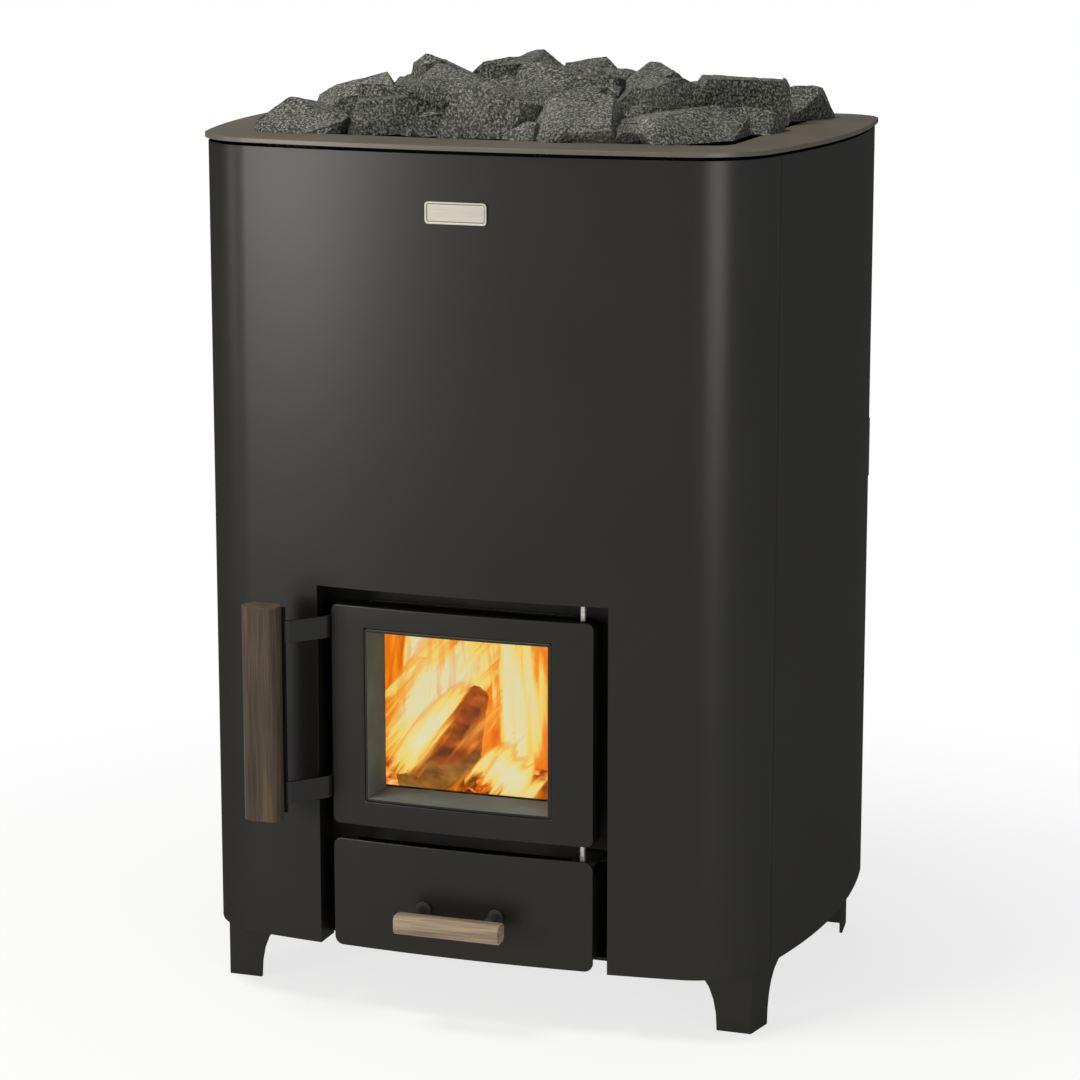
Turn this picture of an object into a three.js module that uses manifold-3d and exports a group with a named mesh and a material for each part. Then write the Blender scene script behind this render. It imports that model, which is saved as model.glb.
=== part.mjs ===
// Wood-burning sauna stove: bowed sheet casing on four feet, stones heaped in a rimmed basket,
// a glazed fire door on a pin hinge and a sliding ash drawer below it.
// Millimetres, +Z up, the front faces -Y, the origin lies on the floor under the middle.
import * as THREE from 'three';
import { ConvexGeometry } from 'three/addons/geometries/ConvexGeometry.js';
import { mergeVertices } from 'three/addons/utils/BufferGeometryUtils.js';
import Module from 'manifold-3d';

const wasm = await Module();
wasm.setup();

// Clearance between pieces that touch
const FIT = 0.3;
// Extra length of a cutting body past the face it cuts
const OVERCUT = 5;

// Casing
const CASING_WIDTH = 560;
const CASING_DEPTH = 414;
const STOVE_HEIGHT = 780;
const SHEET = 2;
const BOW_RADIUS = 1426;
const FRONT_SHOULDER = 80;
const CORNER_RADIUS = 69;
const SIDE_RADIUS = 741;
const REAR_RADIUS = 40;
const SEAM_SETBACK = 19;
const SEAM_GAP = 0.6;
const REAR_FLANGE = 25;
const CUTOUT_WIDTH = 270;
const CUTOUT_RETURN = 30;
const BASE_THICKNESS = 3;
const BASE_RISE = 2;

// Rim and stone basket
const RIM_THICKNESS = 4;
const RIM_OVERHANG = 3;
const RIM_FRONT_WIDTH = 62;
const RIM_SIDE_WIDTH = 62;
const RIM_REAR_WIDTH = 15;
const OPENING_CORNER_RADIUS = 22;
const RIM_LIP_DEPTH = 14;
const LIP_SHEET = 2.2;
const BASKET_DEPTH = 55;
const BASKET_SHEET = 2.5;
const BASKET_SLOT_WIDTH = 12;
const BASKET_SLOT_PITCH = 44;
const BASKET_SLOT_END_MARGIN = 50;

// Stones
const STONE_ROWS = 4;
const STONES_PER_ROW = 5;
const STONE_CROWN = 62;
const STONE_EDGE_RISE = 20;
const STONE_GAP = 0.8;
const STONE_EDGE_GAP = 1.5;
const STONE_POINTS = 26;
const STONE_STAGGER = 0.2;
const STONE_SCATTER = 0.28;
const STONE_SPREAD = 0.66;
const STONE_ROUGHNESS = 0.34;
const DOME_START = 0.12;
const DOME_SPAN = 0.66;

// Feet
const FOOT_HEIGHT = 60;
const FOOT_SHEET = 3;
const FOOT_TOE = 32;
const FOOT_FLARE = 30;
const FOOT_INSET_SIDE = 29;
const FOOT_INSET_FRONT = 62;
const FOOT_INSET_REAR = 18;
const FRONT_FOOT_SPLAY = 11;
const REAR_FOOT_SPLAY = 8;

// Fire door
const DOOR_HEIGHT = 200;
const DOOR_SIDE_GAP = 13;
const DOOR_TOP_GAP = 15;
const DOOR_DRAWER_GAP = 13.5;
const DOOR_RECESS = 1;
const DOOR_DEPTH = 22;
const DOOR_SHEET = 3;
const DOOR_CORNER_RADIUS = 6;
const WINDOW_WIDTH = 174;
const WINDOW_HEIGHT = 157;
const WINDOW_LEFT_MARGIN = 32;
const WINDOW_BOTTOM_MARGIN = 23;
const WINDOW_DEPTH = 44;
const WINDOW_WALL = 2.5;
const WINDOW_BACK_SHEET = 3;
const WINDOW_BACK_LIP = 2;
const GLASS_THICKNESS = 4;
const GLASS_LAP = 4;
const CLIP_SHEET = 2;
const CLIP_REACH = 9;
const GASKET_WIDTH = 8;
const GASKET_PROUD = 3.4;
const GASKET_RADIUS = 10;

// Door hinge
const HINGE_INSET = 13;
const HINGE_SETBACK = 17;
const PIN_DIAMETER = 5;
const PIN_CLEARANCE = 0.4;
const PIN_HEAD_DIAMETER = 9;
const PIN_HEAD_HEIGHT = 3;
const PIN_TAIL = 4;
const EAR_WIDTH = 20;
const EAR_THICKNESS = 3.5;
const EAR_NOSE = 6;
const EAR_GAP = 3;

// Door handle
const HANDLE_REACH = 27.7;
const HANDLE_OFFSET = 29.8;
const BRACKET_SHEET = 3;
const ARM_HEIGHT = 20;
const LOWER_ARM_MARGIN = 23;
const UPPER_ARM_MARGIN = 11;
const ARM_FOOT = 16;
const GRIP_WIDTH = 35;
const GRIP_DEPTH = 22;
const GRIP_LENGTH = 194;
const GRIP_RISE = 11;
const GRIP_RADIUS = 10;
const GRIP_LAP = 0.8;
const BACKING_MARGIN = 4;

// Ash drawer
const DRAWER_HEIGHT = 100;
const DRAWER_DROP = 0.5;
const DRAWER_SHEET = 3;
const DRAWER_CORNER_RADIUS = 8;
const TRAY_WIDTH = 230;
const TRAY_REAR_GAP = 23.3;
const TRAY_HEIGHT = 76;
const TRAY_SHEET = 2;
const TRAY_APERTURE_GAP = 5;
const DRAWER_GRIP_LENGTH = 98;
const DRAWER_GRIP_SECTION = 17;
const DRAWER_GRIP_CHAMFER = 3;
const DRAWER_GRIP_HEIGHT = 38;
const STANDOFF_SPACING = 68;
const STANDOFF_LENGTH = 20;
const STANDOFF_RISE = 5.5;
const STANDOFF_FLANGE_DIAMETER = 14;
const STANDOFF_FLANGE_HEIGHT = 3;
const STANDOFF_SHANK_DIAMETER = 9;

// Firebox
const FIREBOX_WIDTH = 330;
const FIREBOX_REAR_GAP = 40.4;
const FIREBOX_HEIGHT = 545;
const FIREBOX_WALL = 4;
const FACE_THICKNESS = 4;
const HEARTH_DROP = 6;
const GRATE_WIDTH = 226;
const GRATE_LENGTH = 186;
const GRATE_THICKNESS = 10;
const GRATE_SEAT = 13;
const GRATE_SLOTS = 9;
const GRATE_SLOT_WIDTH = 10;
const GRATE_SLOT_PITCH = 20;
const GRATE_SLOT_END = 18;
const BAFFLE_LENGTH = 230;
const BAFFLE_THICKNESS = 5;
const FLUE_DIAMETER = 115;
const FLUE_WALL = 3;
const FLUE_REACH = 50;
const FLUE_TOP_GAP = 6;
const FLUE_HOLE_GAP = 6;

// Nameplate and rear spacers
const NAMEPLATE_WIDTH = 56;
const NAMEPLATE_HEIGHT = 19;
const NAMEPLATE_THICKNESS = 0.8;
const NAMEPLATE_BORDER = 1.5;
const NAMEPLATE_RAISE = 0.4;
const NAMEPLATE_DROP = 43;
const SPACER_SHEET = 2.5;
const SPACER_HEIGHT = 56;
const SPACER_LEVEL = 433;
const SPACER_WIDTH = 45;
const SPACER_REACH = 32;
const SPACER_INSET = 29;

// Levels and planes that follow from the sizes above
const front = -CASING_DEPTH / 2;
const rear = CASING_DEPTH / 2;
const panelBottom = FOOT_HEIGHT;
const panelTop = STOVE_HEIGHT - RIM_THICKNESS - FIT;
const baseBottom = FOOT_HEIGHT + BASE_RISE;
const baseTop = baseBottom + BASE_THICKNESS;
const drawerBottom = FOOT_HEIGHT + DRAWER_DROP;
const drawerTop = drawerBottom + DRAWER_HEIGHT;
const doorBottom = drawerTop + DOOR_DRAWER_GAP;
const doorTop = doorBottom + DOOR_HEIGHT;
const cutoutTop = doorTop + DOOR_TOP_GAP;
const cutoutHalf = CUTOUT_WIDTH / 2;
const doorHalf = cutoutHalf - DOOR_SIDE_GAP;
const windowBack = front + WINDOW_DEPTH;
const sealFront = windowBack + WINDOW_BACK_SHEET + FIT;
const glassBack = sealFront + GLASS_THICKNESS;
const gasketBack = glassBack + FIT + CLIP_SHEET + GASKET_PROUD;
const faceFront = gasketBack + FIT;
const shellFront = faceFront + FACE_THICKNESS + FIT;
const shellRear = rear - SHEET - FIREBOX_REAR_GAP;
const shellBottom = baseTop + FIT;
const shellTop = shellBottom + FIREBOX_HEIGHT;
const hearthTop = doorBottom - HEARTH_DROP;
const hingeX = doorHalf - HINGE_INSET;
const hingeY = front + HINGE_SETBACK;
const pinHole = PIN_DIAMETER / 2 + PIN_CLEARANCE;
const upperEarBottom = cutoutTop + EAR_GAP;
const lowerEarTop = drawerTop - EAR_GAP;
const basketFloor = STOVE_HEIGHT - BASKET_DEPTH;

// Finishes
const finish = (color, roughness, metalness) => () =>
  new THREE.MeshStandardMaterial({ color, roughness, metalness });
const casingPaint = finish(0x3a3833, 0.55, 0.3);
const ironBlack = finish(0x22211f, 0.7, 0.4);
const bareSteel = finish(0xd0d0c8, 0.3, 0.9);
const plateAluminium = finish(0xd6d2ca, 0.35, 0.8);
const darkWood = finish(0x6f5f50, 0.7, 0);
const paleWood = finish(0x8f8172, 0.7, 0);
const heatGlass = finish(0x2a2018, 0.1, 0);
const ropeSeal = finish(0x55524c, 0.95, 0);
const stoneGrey = finish(0x6a6a66, 0.95, 0);

const stove = new THREE.Group();

function addPart(name, geometry, material) {
  const mesh = new THREE.Mesh(geometry, material());
  mesh.name = name;
  stove.add(mesh);
}

// Solids: joining and cutting closed meshes
function toSolid(geometry) {
  const bare = geometry.clone();
  bare.deleteAttribute('normal');
  bare.deleteAttribute('uv');
  const merged = mergeVertices(bare, 1e-4);
  const vertProperties = new Float32Array(merged.attributes.position.array);
  const triVerts = new Uint32Array(merged.index.array);
  return new wasm.Manifold(new wasm.Mesh({ numProp: 3, vertProperties, triVerts }));
}

function toGeometry(solid) {
  const mesh = solid.getMesh();
  const geometry = new THREE.BufferGeometry();
  geometry.setAttribute('position', new THREE.BufferAttribute(new Float32Array(mesh.vertProperties), 3));
  geometry.setIndex(Array.from(mesh.triVerts));
  geometry.computeVertexNormals();
  return geometry;
}

const join = (first, ...rest) =>
  toGeometry(rest.reduce((sum, item) => sum.add(toSolid(item)), toSolid(first)));
const cut = (first, ...rest) =>
  toGeometry(rest.reduce((left, item) => left.subtract(toSolid(item)), toSolid(first)));
const common = (first, second) => toGeometry(toSolid(first).intersect(toSolid(second)));

function mirrorX(geometry) {
  const flipped = mergeVertices(geometry.clone().deleteAttribute('normal').deleteAttribute('uv'), 1e-4);
  flipped.scale(-1, 1, 1);
  const index = flipped.index.array;
  for (let i = 0; i < index.length; i += 3) {
    const second = index[i + 1];
    index[i + 1] = index[i + 2];
    index[i + 2] = second;
  }
  return flipped;
}

// Plain shapes
function box(x0, x1, y0, y1, z0, z1) {
  const geometry = new THREE.BoxGeometry(x1 - x0, y1 - y0, z1 - z0);
  return geometry.translate((x0 + x1) / 2, (y0 + y1) / 2, (z0 + z1) / 2);
}

const toPoints = (pairs) => pairs.map(([x, y]) => new THREE.Vector2(x, y));

function prism(points, z0, z1) {
  const shape = new THREE.Shape(toPoints(points));
  return new THREE.ExtrudeGeometry(shape, { depth: z1 - z0, bevelEnabled: false }).translate(0, 0, z0);
}

// A plan outline raised from z0 to z1, with holes right through
function slab(points, z0, z1, holes = []) {
  const solid = prism(points, z0, z1);
  return holes.length ? cut(solid, ...holes.map((hole) => prism(hole, z0 - OVERCUT, z1 + OVERCUT))) : solid;
}

// A front-view outline (x, z) given depth from y0 back to y1
function plate(points, y0, y1, holes = []) {
  return slab(points, 0, y1 - y0, holes).rotateX(Math.PI / 2).translate(0, y1, 0);
}

function rounded(x0, x1, z0, z1, radius, steps = 4) {
  const corners = [
    [x1 - radius, z0 + radius, -90],
    [x1 - radius, z1 - radius, 0],
    [x0 + radius, z1 - radius, 90],
    [x0 + radius, z0 + radius, 180],
  ];
  return corners.flatMap(([x, y, from]) => traceArc({ x, y, r: radius, from, to: from + 90, steps }));
}

const rectangle = (x0, x1, z0, z1) => [[x0, z0], [x1, z0], [x1, z1], [x0, z1]];

function circle(x, y, radius, steps = 28) {
  return traceArc({ x, y, r: radius, from: 0, to: 360, steps }).slice(0, -1);
}

// An upright rod or tube of revolution standing at (x, y)
function turned(profile, x, y, steps = 20) {
  return new THREE.LatheGeometry(toPoints(profile), steps).rotateX(Math.PI / 2).translate(x, y, 0);
}

// A sheet strip that follows a plan polyline, with mitred bends
function ribbon(path, thickness) {
  const points = toPoints(path);
  const side = (sign) => points.map((point, i) => {
    const before = points[Math.max(i - 1, 0)];
    const after = points[Math.min(i + 1, points.length - 1)];
    const into = point.clone().sub(i > 0 ? before : point).normalize();
    const out = after.clone().sub(i < points.length - 1 ? point : after).normalize();
    const first = i > 0 ? into : out;
    const last = i < points.length - 1 ? out : into;
    const normal = new THREE.Vector2(-first.y - last.y, first.x + last.x).normalize();
    const reach = thickness / 2 / normal.dot(new THREE.Vector2(-first.y, first.x));
    return [point.x + sign * reach * normal.x, point.y + sign * reach * normal.y];
  });
  return [...side(-1), ...side(1).reverse()];
}

// Casing outline: tangent arcs from the bowed front round to the flat back
const degrees = THREE.MathUtils.radToDeg;
const radians = THREE.MathUtils.degToRad;

function traceArc({ x, y, r, from, to, steps }, offset = 0) {
  const points = [];
  for (let i = 0; i <= steps; i += 1) {
    const angle = radians(from + ((to - from) * i) / steps);
    points.push([x + (r + offset) * Math.cos(angle), y + (r + offset) * Math.sin(angle)]);
  }
  return points;
}

const bowCentreY = front + BOW_RADIUS;
const bowTurn = Math.asin((CASING_WIDTH / 2 - FRONT_SHOULDER) / BOW_RADIUS);
const cornerX = (BOW_RADIUS - CORNER_RADIUS) * Math.sin(bowTurn);
const cornerY = bowCentreY - (BOW_RADIUS - CORNER_RADIUS) * Math.cos(bowTurn);
const sideX = CASING_WIDTH / 2 - SIDE_RADIUS;
const sideY = cornerY + Math.sqrt((SIDE_RADIUS - CORNER_RADIUS) ** 2 - (cornerX - sideX) ** 2);
const rearY = rear - REAR_RADIUS;
const rearX = sideX + Math.sqrt((SIDE_RADIUS - REAR_RADIUS) ** 2 - (rearY - sideY) ** 2);
const sideStart = degrees(Math.atan2(cornerY - sideY, cornerX - sideX));
const sideEnd = degrees(Math.atan2(rearY - sideY, rearX - sideX));
const seamTurn = degrees(SEAM_SETBACK / SIDE_RADIUS);
const seamGapTurn = degrees(SEAM_GAP / SIDE_RADIUS);
const bowHalfTurn = degrees(bowTurn);

const bowEnd = bowHalfTurn - 90;
const bowArc = { x: 0, y: bowCentreY, r: BOW_RADIUS, from: -180 - bowEnd, to: bowEnd, steps: 16 };
const cornerArc = { x: cornerX, y: cornerY, r: CORNER_RADIUS, from: bowEnd, to: sideStart, steps: 8 };
const seamArc = { x: sideX, y: sideY, r: SIDE_RADIUS, from: sideStart, to: sideStart + seamTurn, steps: 1 };
const sideArc = { ...seamArc, from: seamArc.to + seamGapTurn, to: sideEnd, steps: 10 };
const rearArc = { x: rearX, y: rearY, r: REAR_RADIUS, from: sideEnd, to: 90, steps: 6 };
const mirrored = (arc) => ({ ...arc, x: -arc.x, from: 180 - arc.to, to: 180 - arc.from });

const dropRepeats = (points) => points.filter(([x, y], i) => {
  const [px, py] = points[(i + points.length - 1) % points.length];
  return Math.hypot(x - px, y - py) > 1e-6;
});
const traceAll = (arcs, offset) => dropRepeats(arcs.flatMap((arc) => traceArc(arc, offset)));
const rightArcs = [cornerArc, seamArc, sideArc, rearArc];
const leftArcs = rightArcs.map(mirrored).reverse();
const outline = (offset) => traceAll([bowArc, ...rightArcs, ...leftArcs], offset);
const bowY = (x) => bowCentreY - Math.sqrt(BOW_RADIUS ** 2 - x ** 2);

// Everything between two depths behind the bowed front, for pieces that follow its curve
function bowBand(depth0, depth1, z0, z1) {
  const outer = traceArc(bowArc, -depth0);
  const inner = traceArc(bowArc, -depth1).reverse();
  return slab([...outer, ...inner], z0, z1);
}

// Casing panels
function sheetAlong(arcs, tail = []) {
  const outer = traceAll(arcs, 0);
  const inner = traceAll(arcs, -SHEET);
  const [outerTail, innerTail] = [tail.slice(0, 1), tail.slice(1)];
  return slab([...outer, ...outerTail, ...innerTail, ...inner.reverse()], panelBottom, panelTop);
}

function buildCasing() {
  const wrap = sheetAlong([mirrored(seamArc), mirrored(cornerArc), bowArc, cornerArc, seamArc]);
  const cutEdgeY = bowY(cutoutHalf);
  const doorway = box(-cutoutHalf, cutoutHalf, front - OVERCUT, 0, panelBottom - OVERCUT, cutoutTop);
  const returnSheet = box(
    cutoutHalf, cutoutHalf + SHEET, cutEdgeY + SHEET / 2, cutEdgeY + CUTOUT_RETURN, panelBottom, cutoutTop);
  addPart('front_panel', join(cut(wrap, doorway), returnSheet, mirrorX(returnSheet)), casingPaint);

  const flangeX = rearX - REAR_FLANGE;
  const side = sheetAlong([sideArc, rearArc], [[flangeX, rear], [flangeX, rear - SHEET]]);
  addPart('right_side_panel', side, casingPaint);
  addPart('left_side_panel', mirrorX(side), casingPaint);

  const rearHalf = flangeX - SEAM_GAP;
  const flueHole = circle(0, flueLevel, FLUE_DIAMETER / 2 + FLUE_HOLE_GAP);
  const back = rectangle(-rearHalf, rearHalf, panelBottom, panelTop);
  addPart('rear_panel', plate(back, rear - SHEET, rear, [flueHole]), casingPaint);

  const notchHalf = cutoutHalf + SHEET + FIT;
  const notch = box(
    -notchHalf, notchHalf, front - OVERCUT, cutEdgeY + CUTOUT_RETURN + FIT,
    baseBottom - OVERCUT, baseTop + OVERCUT);
  addPart('base_plate', cut(slab(outline(-SHEET - FIT), baseBottom, baseTop), notch), ironBlack);
}

// Rim and stone basket
const openingHalf = CASING_WIDTH / 2 - RIM_SIDE_WIDTH;
const openingRear = rear - RIM_REAR_WIDTH;

function opening(offset) {
  const radius = BOW_RADIUS - RIM_FRONT_WIDTH;
  const inset = openingHalf - OPENING_CORNER_RADIUS;
  const reach = radius - OPENING_CORNER_RADIUS;
  const turn = degrees(Math.asin(inset / reach));
  const y = bowCentreY - reach * Math.cos(radians(turn));
  const bow = { x: 0, y: bowCentreY, r: radius, from: -90 - turn, to: -90 + turn, steps: 12 };
  const corner = { x: inset, y, r: OPENING_CORNER_RADIUS, from: turn - 90, to: 0, steps: 5 };
  const half = openingHalf + offset;
  const back = openingRear + offset;
  return traceAll([mirrored(corner), bow, corner], offset).concat([[half, back], [-half, back]]);
}

function buildRim() {
  const rimBottom = STOVE_HEIGHT - RIM_THICKNESS;
  const rim = slab(outline(RIM_OVERHANG), rimBottom, STOVE_HEIGHT, [opening(0)]);
  const lip = slab(opening(LIP_SHEET), rimBottom - RIM_LIP_DEPTH, STOVE_HEIGHT, [opening(0)]);
  addPart('top_frame', join(rim, lip), casingPaint);

  const wallStart = LIP_SHEET + FIT;
  const wallEnd = wallStart + BASKET_SHEET;
  const wall = slab(opening(wallEnd), basketFloor - BASKET_SHEET, panelTop, [opening(wallStart)]);
  const slotFront = bowY(openingHalf) + RIM_FRONT_WIDTH + BASKET_SLOT_END_MARGIN;
  const slotRear = openingRear - BASKET_SLOT_END_MARGIN;
  const slots = [];
  const reach = openingHalf - BASKET_SLOT_END_MARGIN;
  const count = Math.floor((2 * reach) / BASKET_SLOT_PITCH);
  for (let i = 0; i <= count; i += 1) {
    const x = (i - count / 2) * BASKET_SLOT_PITCH;
    slots.push(box(
      x - BASKET_SLOT_WIDTH / 2, x + BASKET_SLOT_WIDTH / 2, slotFront, slotRear,
      basketFloor - BASKET_SHEET - OVERCUT, basketFloor + OVERCUT));
  }
  const floor = slab(opening(wallEnd), basketFloor - BASKET_SHEET, basketFloor);
  addPart('stone_basket', join(wall, cut(floor, ...slots)), ironBlack);
}

// Stones: each fills its own cell of a staggered, scattered grid under a domed crown
function scatter(n) {
  const wave = Math.sin(n * 127.1 + 311.7) * 43758.5453;
  return wave - Math.floor(wave);
}

function stoneSeeds() {
  const seeds = [];
  const yFront = bowY(openingHalf) + RIM_FRONT_WIDTH;
  const pitchX = (2 * openingHalf) / STONES_PER_ROW;
  const pitchY = (openingRear - yFront) / STONE_ROWS;
  for (let row = 0; row < STONE_ROWS; row += 1) {
    for (let column = 0; column < STONES_PER_ROW; column += 1) {
      const n = row * STONES_PER_ROW + column;
      const shift = (row % 2 ? 1 : -1) * STONE_STAGGER + (scatter(n) - 0.5) * STONE_SCATTER;
      const x = (column + 0.5 + shift - STONES_PER_ROW / 2) * pitchX;
      const y = yFront + (row + 0.5 + (scatter(n + 50) - 0.5) * STONE_SCATTER) * pitchY;
      const across = Math.abs(x) / openingHalf;
      const along = (row + 0.5) / STONE_ROWS;
      const dome = (1 - across ** 3) * Math.sin(Math.PI * (DOME_START + DOME_SPAN * along));
      const top = STOVE_HEIGHT + STONE_EDGE_RISE + (STONE_CROWN - STONE_EDGE_RISE) * dome;
      const half = (top - basketFloor) / 2;
      const reach = STONE_SPREAD * Math.max(pitchX, pitchY);
      seeds.push({ place: new THREE.Vector3(x, y, top - half), half, reach });
    }
  }
  return seeds;
}

// Planes that every stone stays behind: basket floor, rim opening and its rounded front corners
function basketPlanes(place) {
  const plane = (x, y, z, limit) => ({ normal: new THREE.Vector3(x, y, z), limit });
  const half = openingHalf - STONE_EDGE_GAP;
  const bowNormal = new THREE.Vector2(place.x, place.y - bowCentreY).normalize();
  const bowLimit = bowNormal.y * bowCentreY + BOW_RADIUS - RIM_FRONT_WIDTH - STONE_EDGE_GAP;
  const cornerInset = openingHalf - OPENING_CORNER_RADIUS;
  const cornerBack = bowY(openingHalf) + RIM_FRONT_WIDTH + OPENING_CORNER_RADIUS;
  const slant = Math.SQRT1_2;
  const cornerLimit = slant * (cornerInset - cornerBack) + OPENING_CORNER_RADIUS - STONE_EDGE_GAP;
  return [
    plane(0, 0, -1, -basketFloor - FIT),
    plane(1, 0, 0, half),
    plane(-1, 0, 0, half),
    plane(0, 1, 0, openingRear - STONE_EDGE_GAP),
    plane(bowNormal.x, bowNormal.y, 0, bowLimit),
    plane(slant, -slant, 0, cornerLimit),
    plane(-slant, -slant, 0, cornerLimit),
  ];
}

function stoneGeometry(seeds, number) {
  const { place, half, reach } = seeds[number];
  const planes = basketPlanes(place);
  seeds.forEach((other, i) => {
    if (i === number) return;
    const normal = other.place.clone().sub(place);
    const distance = normal.length();
    normal.normalize();
    planes.push({ normal, limit: normal.dot(place) + (distance - STONE_GAP) / 2 });
  });
  const points = [];
  for (let i = 0; i < STONE_POINTS; i += 1) {
    const z = 1 - (2 * i + 1) / STONE_POINTS;
    const angle = i * Math.PI * (3 - Math.sqrt(5)) + number;
    const ring = Math.sqrt(1 - z * z);
    const way = new THREE.Vector3(ring * Math.cos(angle), ring * Math.sin(angle), z);
    const swell = 1 + STONE_ROUGHNESS * (scatter(number * STONE_POINTS + i) - 0.5);
    let length = swell / Math.hypot(way.x / reach, way.y / reach, way.z / half);
    length = Math.min(length, half / Math.max(way.z, 1e-6));
    planes.forEach(({ normal, limit }) => {
      const towards = normal.dot(way);
      if (towards > 1e-6) length = Math.min(length, (limit - normal.dot(place)) / towards);
    });
    points.push(place.clone().addScaledVector(way, length));
  }
  return new ConvexGeometry(points);
}

function buildStones() {
  const seeds = stoneSeeds();
  seeds.forEach((seed, i) => {
    const name = `stone_${String(i + 1).padStart(2, '0')}`;
    addPart(name, stoneGeometry(seeds, i), stoneGrey);
  });
}

// Feet: two sheet faces meeting at the outer corner, each flared by a hollow curve under the base
function footFace() {
  const height = baseBottom - FIT;
  const shape = new THREE.Shape();
  shape.moveTo(0, 0);
  shape.lineTo(FOOT_TOE, 0);
  shape.quadraticCurveTo(
    FOOT_TOE, FOOT_HEIGHT - FOOT_FLARE / 3, FOOT_TOE + FOOT_FLARE, FOOT_HEIGHT - BASE_RISE);
  shape.lineTo(FOOT_TOE + FOOT_FLARE, height);
  shape.lineTo(0, height);
  const geometry = new THREE.ExtrudeGeometry(
    shape, { depth: FOOT_SHEET, bevelEnabled: false, curveSegments: 6 });
  return geometry.rotateX(Math.PI / 2).translate(0, FOOT_SHEET, 0);
}

// The corner stands at the origin with its faces running to -X and, splayed outwards, to +Y
function footAtOrigin(splay) {
  const lengthwise = footFace().rotateZ(radians(90 - splay));
  const crosswise = mirrorX(footFace());
  return join(crosswise, lengthwise);
}

function buildFeet() {
  const x = CASING_WIDTH / 2 - FOOT_INSET_SIDE;
  const frontFoot = footAtOrigin(FRONT_FOOT_SPLAY).translate(x, front + FOOT_INSET_FRONT, 0);
  const rearFoot = mirrorX(footAtOrigin(REAR_FOOT_SPLAY)).rotateZ(Math.PI);
  rearFoot.translate(x, rear - FOOT_INSET_REAR, 0);
  addPart('foot_front_right', frontFoot, casingPaint);
  addPart('foot_front_left', mirrorX(frontFoot), casingPaint);
  addPart('foot_rear_right', rearFoot, casingPaint);
  addPart('foot_rear_left', mirrorX(rearFoot), casingPaint);
}

// Window, seal and glass share these edges, from the visible aperture outwards
const windowEdges = {
  x0: -doorHalf + WINDOW_LEFT_MARGIN,
  x1: -doorHalf + WINDOW_LEFT_MARGIN + WINDOW_WIDTH,
  z0: doorBottom + WINDOW_BOTTOM_MARGIN,
  z1: doorBottom + WINDOW_BOTTOM_MARGIN + WINDOW_HEIGHT,
};
const grown = ({ x0, x1, z0, z1 }, by) => [x0 - by, x1 + by, z0 - by, z1 + by];
const glassEdge = GLASS_LAP;
const clipEdge = glassEdge + FIT + CLIP_SHEET;
const gasketInner = clipEdge + FIT;
const gasketOuter = gasketInner + GASKET_WIDTH;
const backEdge = gasketOuter + WINDOW_BACK_LIP;

function buildDoor() {
  const leaf = rounded(-doorHalf, doorHalf, doorBottom, doorTop, DOOR_CORNER_RADIUS);
  const hollow = rounded(
    DOOR_SHEET - doorHalf, doorHalf - DOOR_SHEET, doorBottom + DOOR_SHEET, doorTop - DOOR_SHEET,
    DOOR_CORNER_RADIUS - DOOR_SHEET / 2);
  const frontSheet = DOOR_RECESS + DOOR_SHEET;
  const shellDepth = DOOR_RECESS + DOOR_DEPTH;
  const reach = [front - OVERCUT, front + 2 * (DOOR_DEPTH + OVERCUT)];
  const span = [doorBottom - OVERCUT, doorTop + OVERCUT];
  const block = common(bowBand(DOOR_RECESS, shellDepth, ...span), plate(leaf, ...reach));
  const pocket = common(bowBand(frontSheet, shellDepth + OVERCUT, ...span), plate(hollow, ...reach));
  const aperture = plate(rounded(...grown(windowEdges, 0), WINDOW_WALL), ...reach);
  const pinBore = slab(circle(hingeX, hingeY, pinHole, 16), ...span);
  addPart('door_panel', cut(block, pocket, aperture, pinBore), casingPaint);

  const tubeOuter = rounded(...grown(windowEdges, -FIT), WINDOW_WALL);
  const tubeInner = rectangle(...grown(windowEdges, -FIT - WINDOW_WALL));
  const tube = plate(tubeOuter, front - OVERCUT, windowBack + WINDOW_BACK_SHEET, [tubeInner]);
  const tubeReach = bowBand(DOOR_RECESS, WINDOW_DEPTH + OVERCUT, doorBottom, doorTop);
  const back = plate(rounded(...grown(windowEdges, backEdge), GASKET_RADIUS), windowBack,
    windowBack + WINDOW_BACK_SHEET, [tubeInner]);
  addPart('door_window_frame', join(common(tube, tubeReach), back), ironBlack);

  const pane = rectangle(...grown(windowEdges, glassEdge));
  addPart('door_glass', plate(pane, sealFront, glassBack), heatGlass);

  const gasketHole = rounded(...grown(windowEdges, gasketInner), GASKET_RADIUS - GASKET_WIDTH / 2);
  const gasket = rounded(...grown(windowEdges, gasketOuter), GASKET_RADIUS);
  addPart('door_gasket', plate(gasket, sealFront, gasketBack, [gasketHole]), ropeSeal);

  const clipBack = glassBack + FIT + CLIP_SHEET;
  const clip = (edge, inwards) => {
    const outer = edge + inwards * -clipEdge;
    const legEnd = outer + inwards * CLIP_SHEET;
    const flapEnd = outer + inwards * CLIP_REACH;
    const span = [windowEdges.x0, windowEdges.x1];
    const leg = box(...span, sealFront, clipBack, Math.min(outer, legEnd), Math.max(outer, legEnd));
    const flap = box(...span, glassBack + FIT, clipBack, Math.min(outer, flapEnd), Math.max(outer, flapEnd));
    return join(leg, flap);
  };
  addPart('glass_clip_bottom', clip(windowEdges.z0, 1), ironBlack);
  addPart('glass_clip_top', clip(windowEdges.z1, -1), ironBlack);
}

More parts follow.
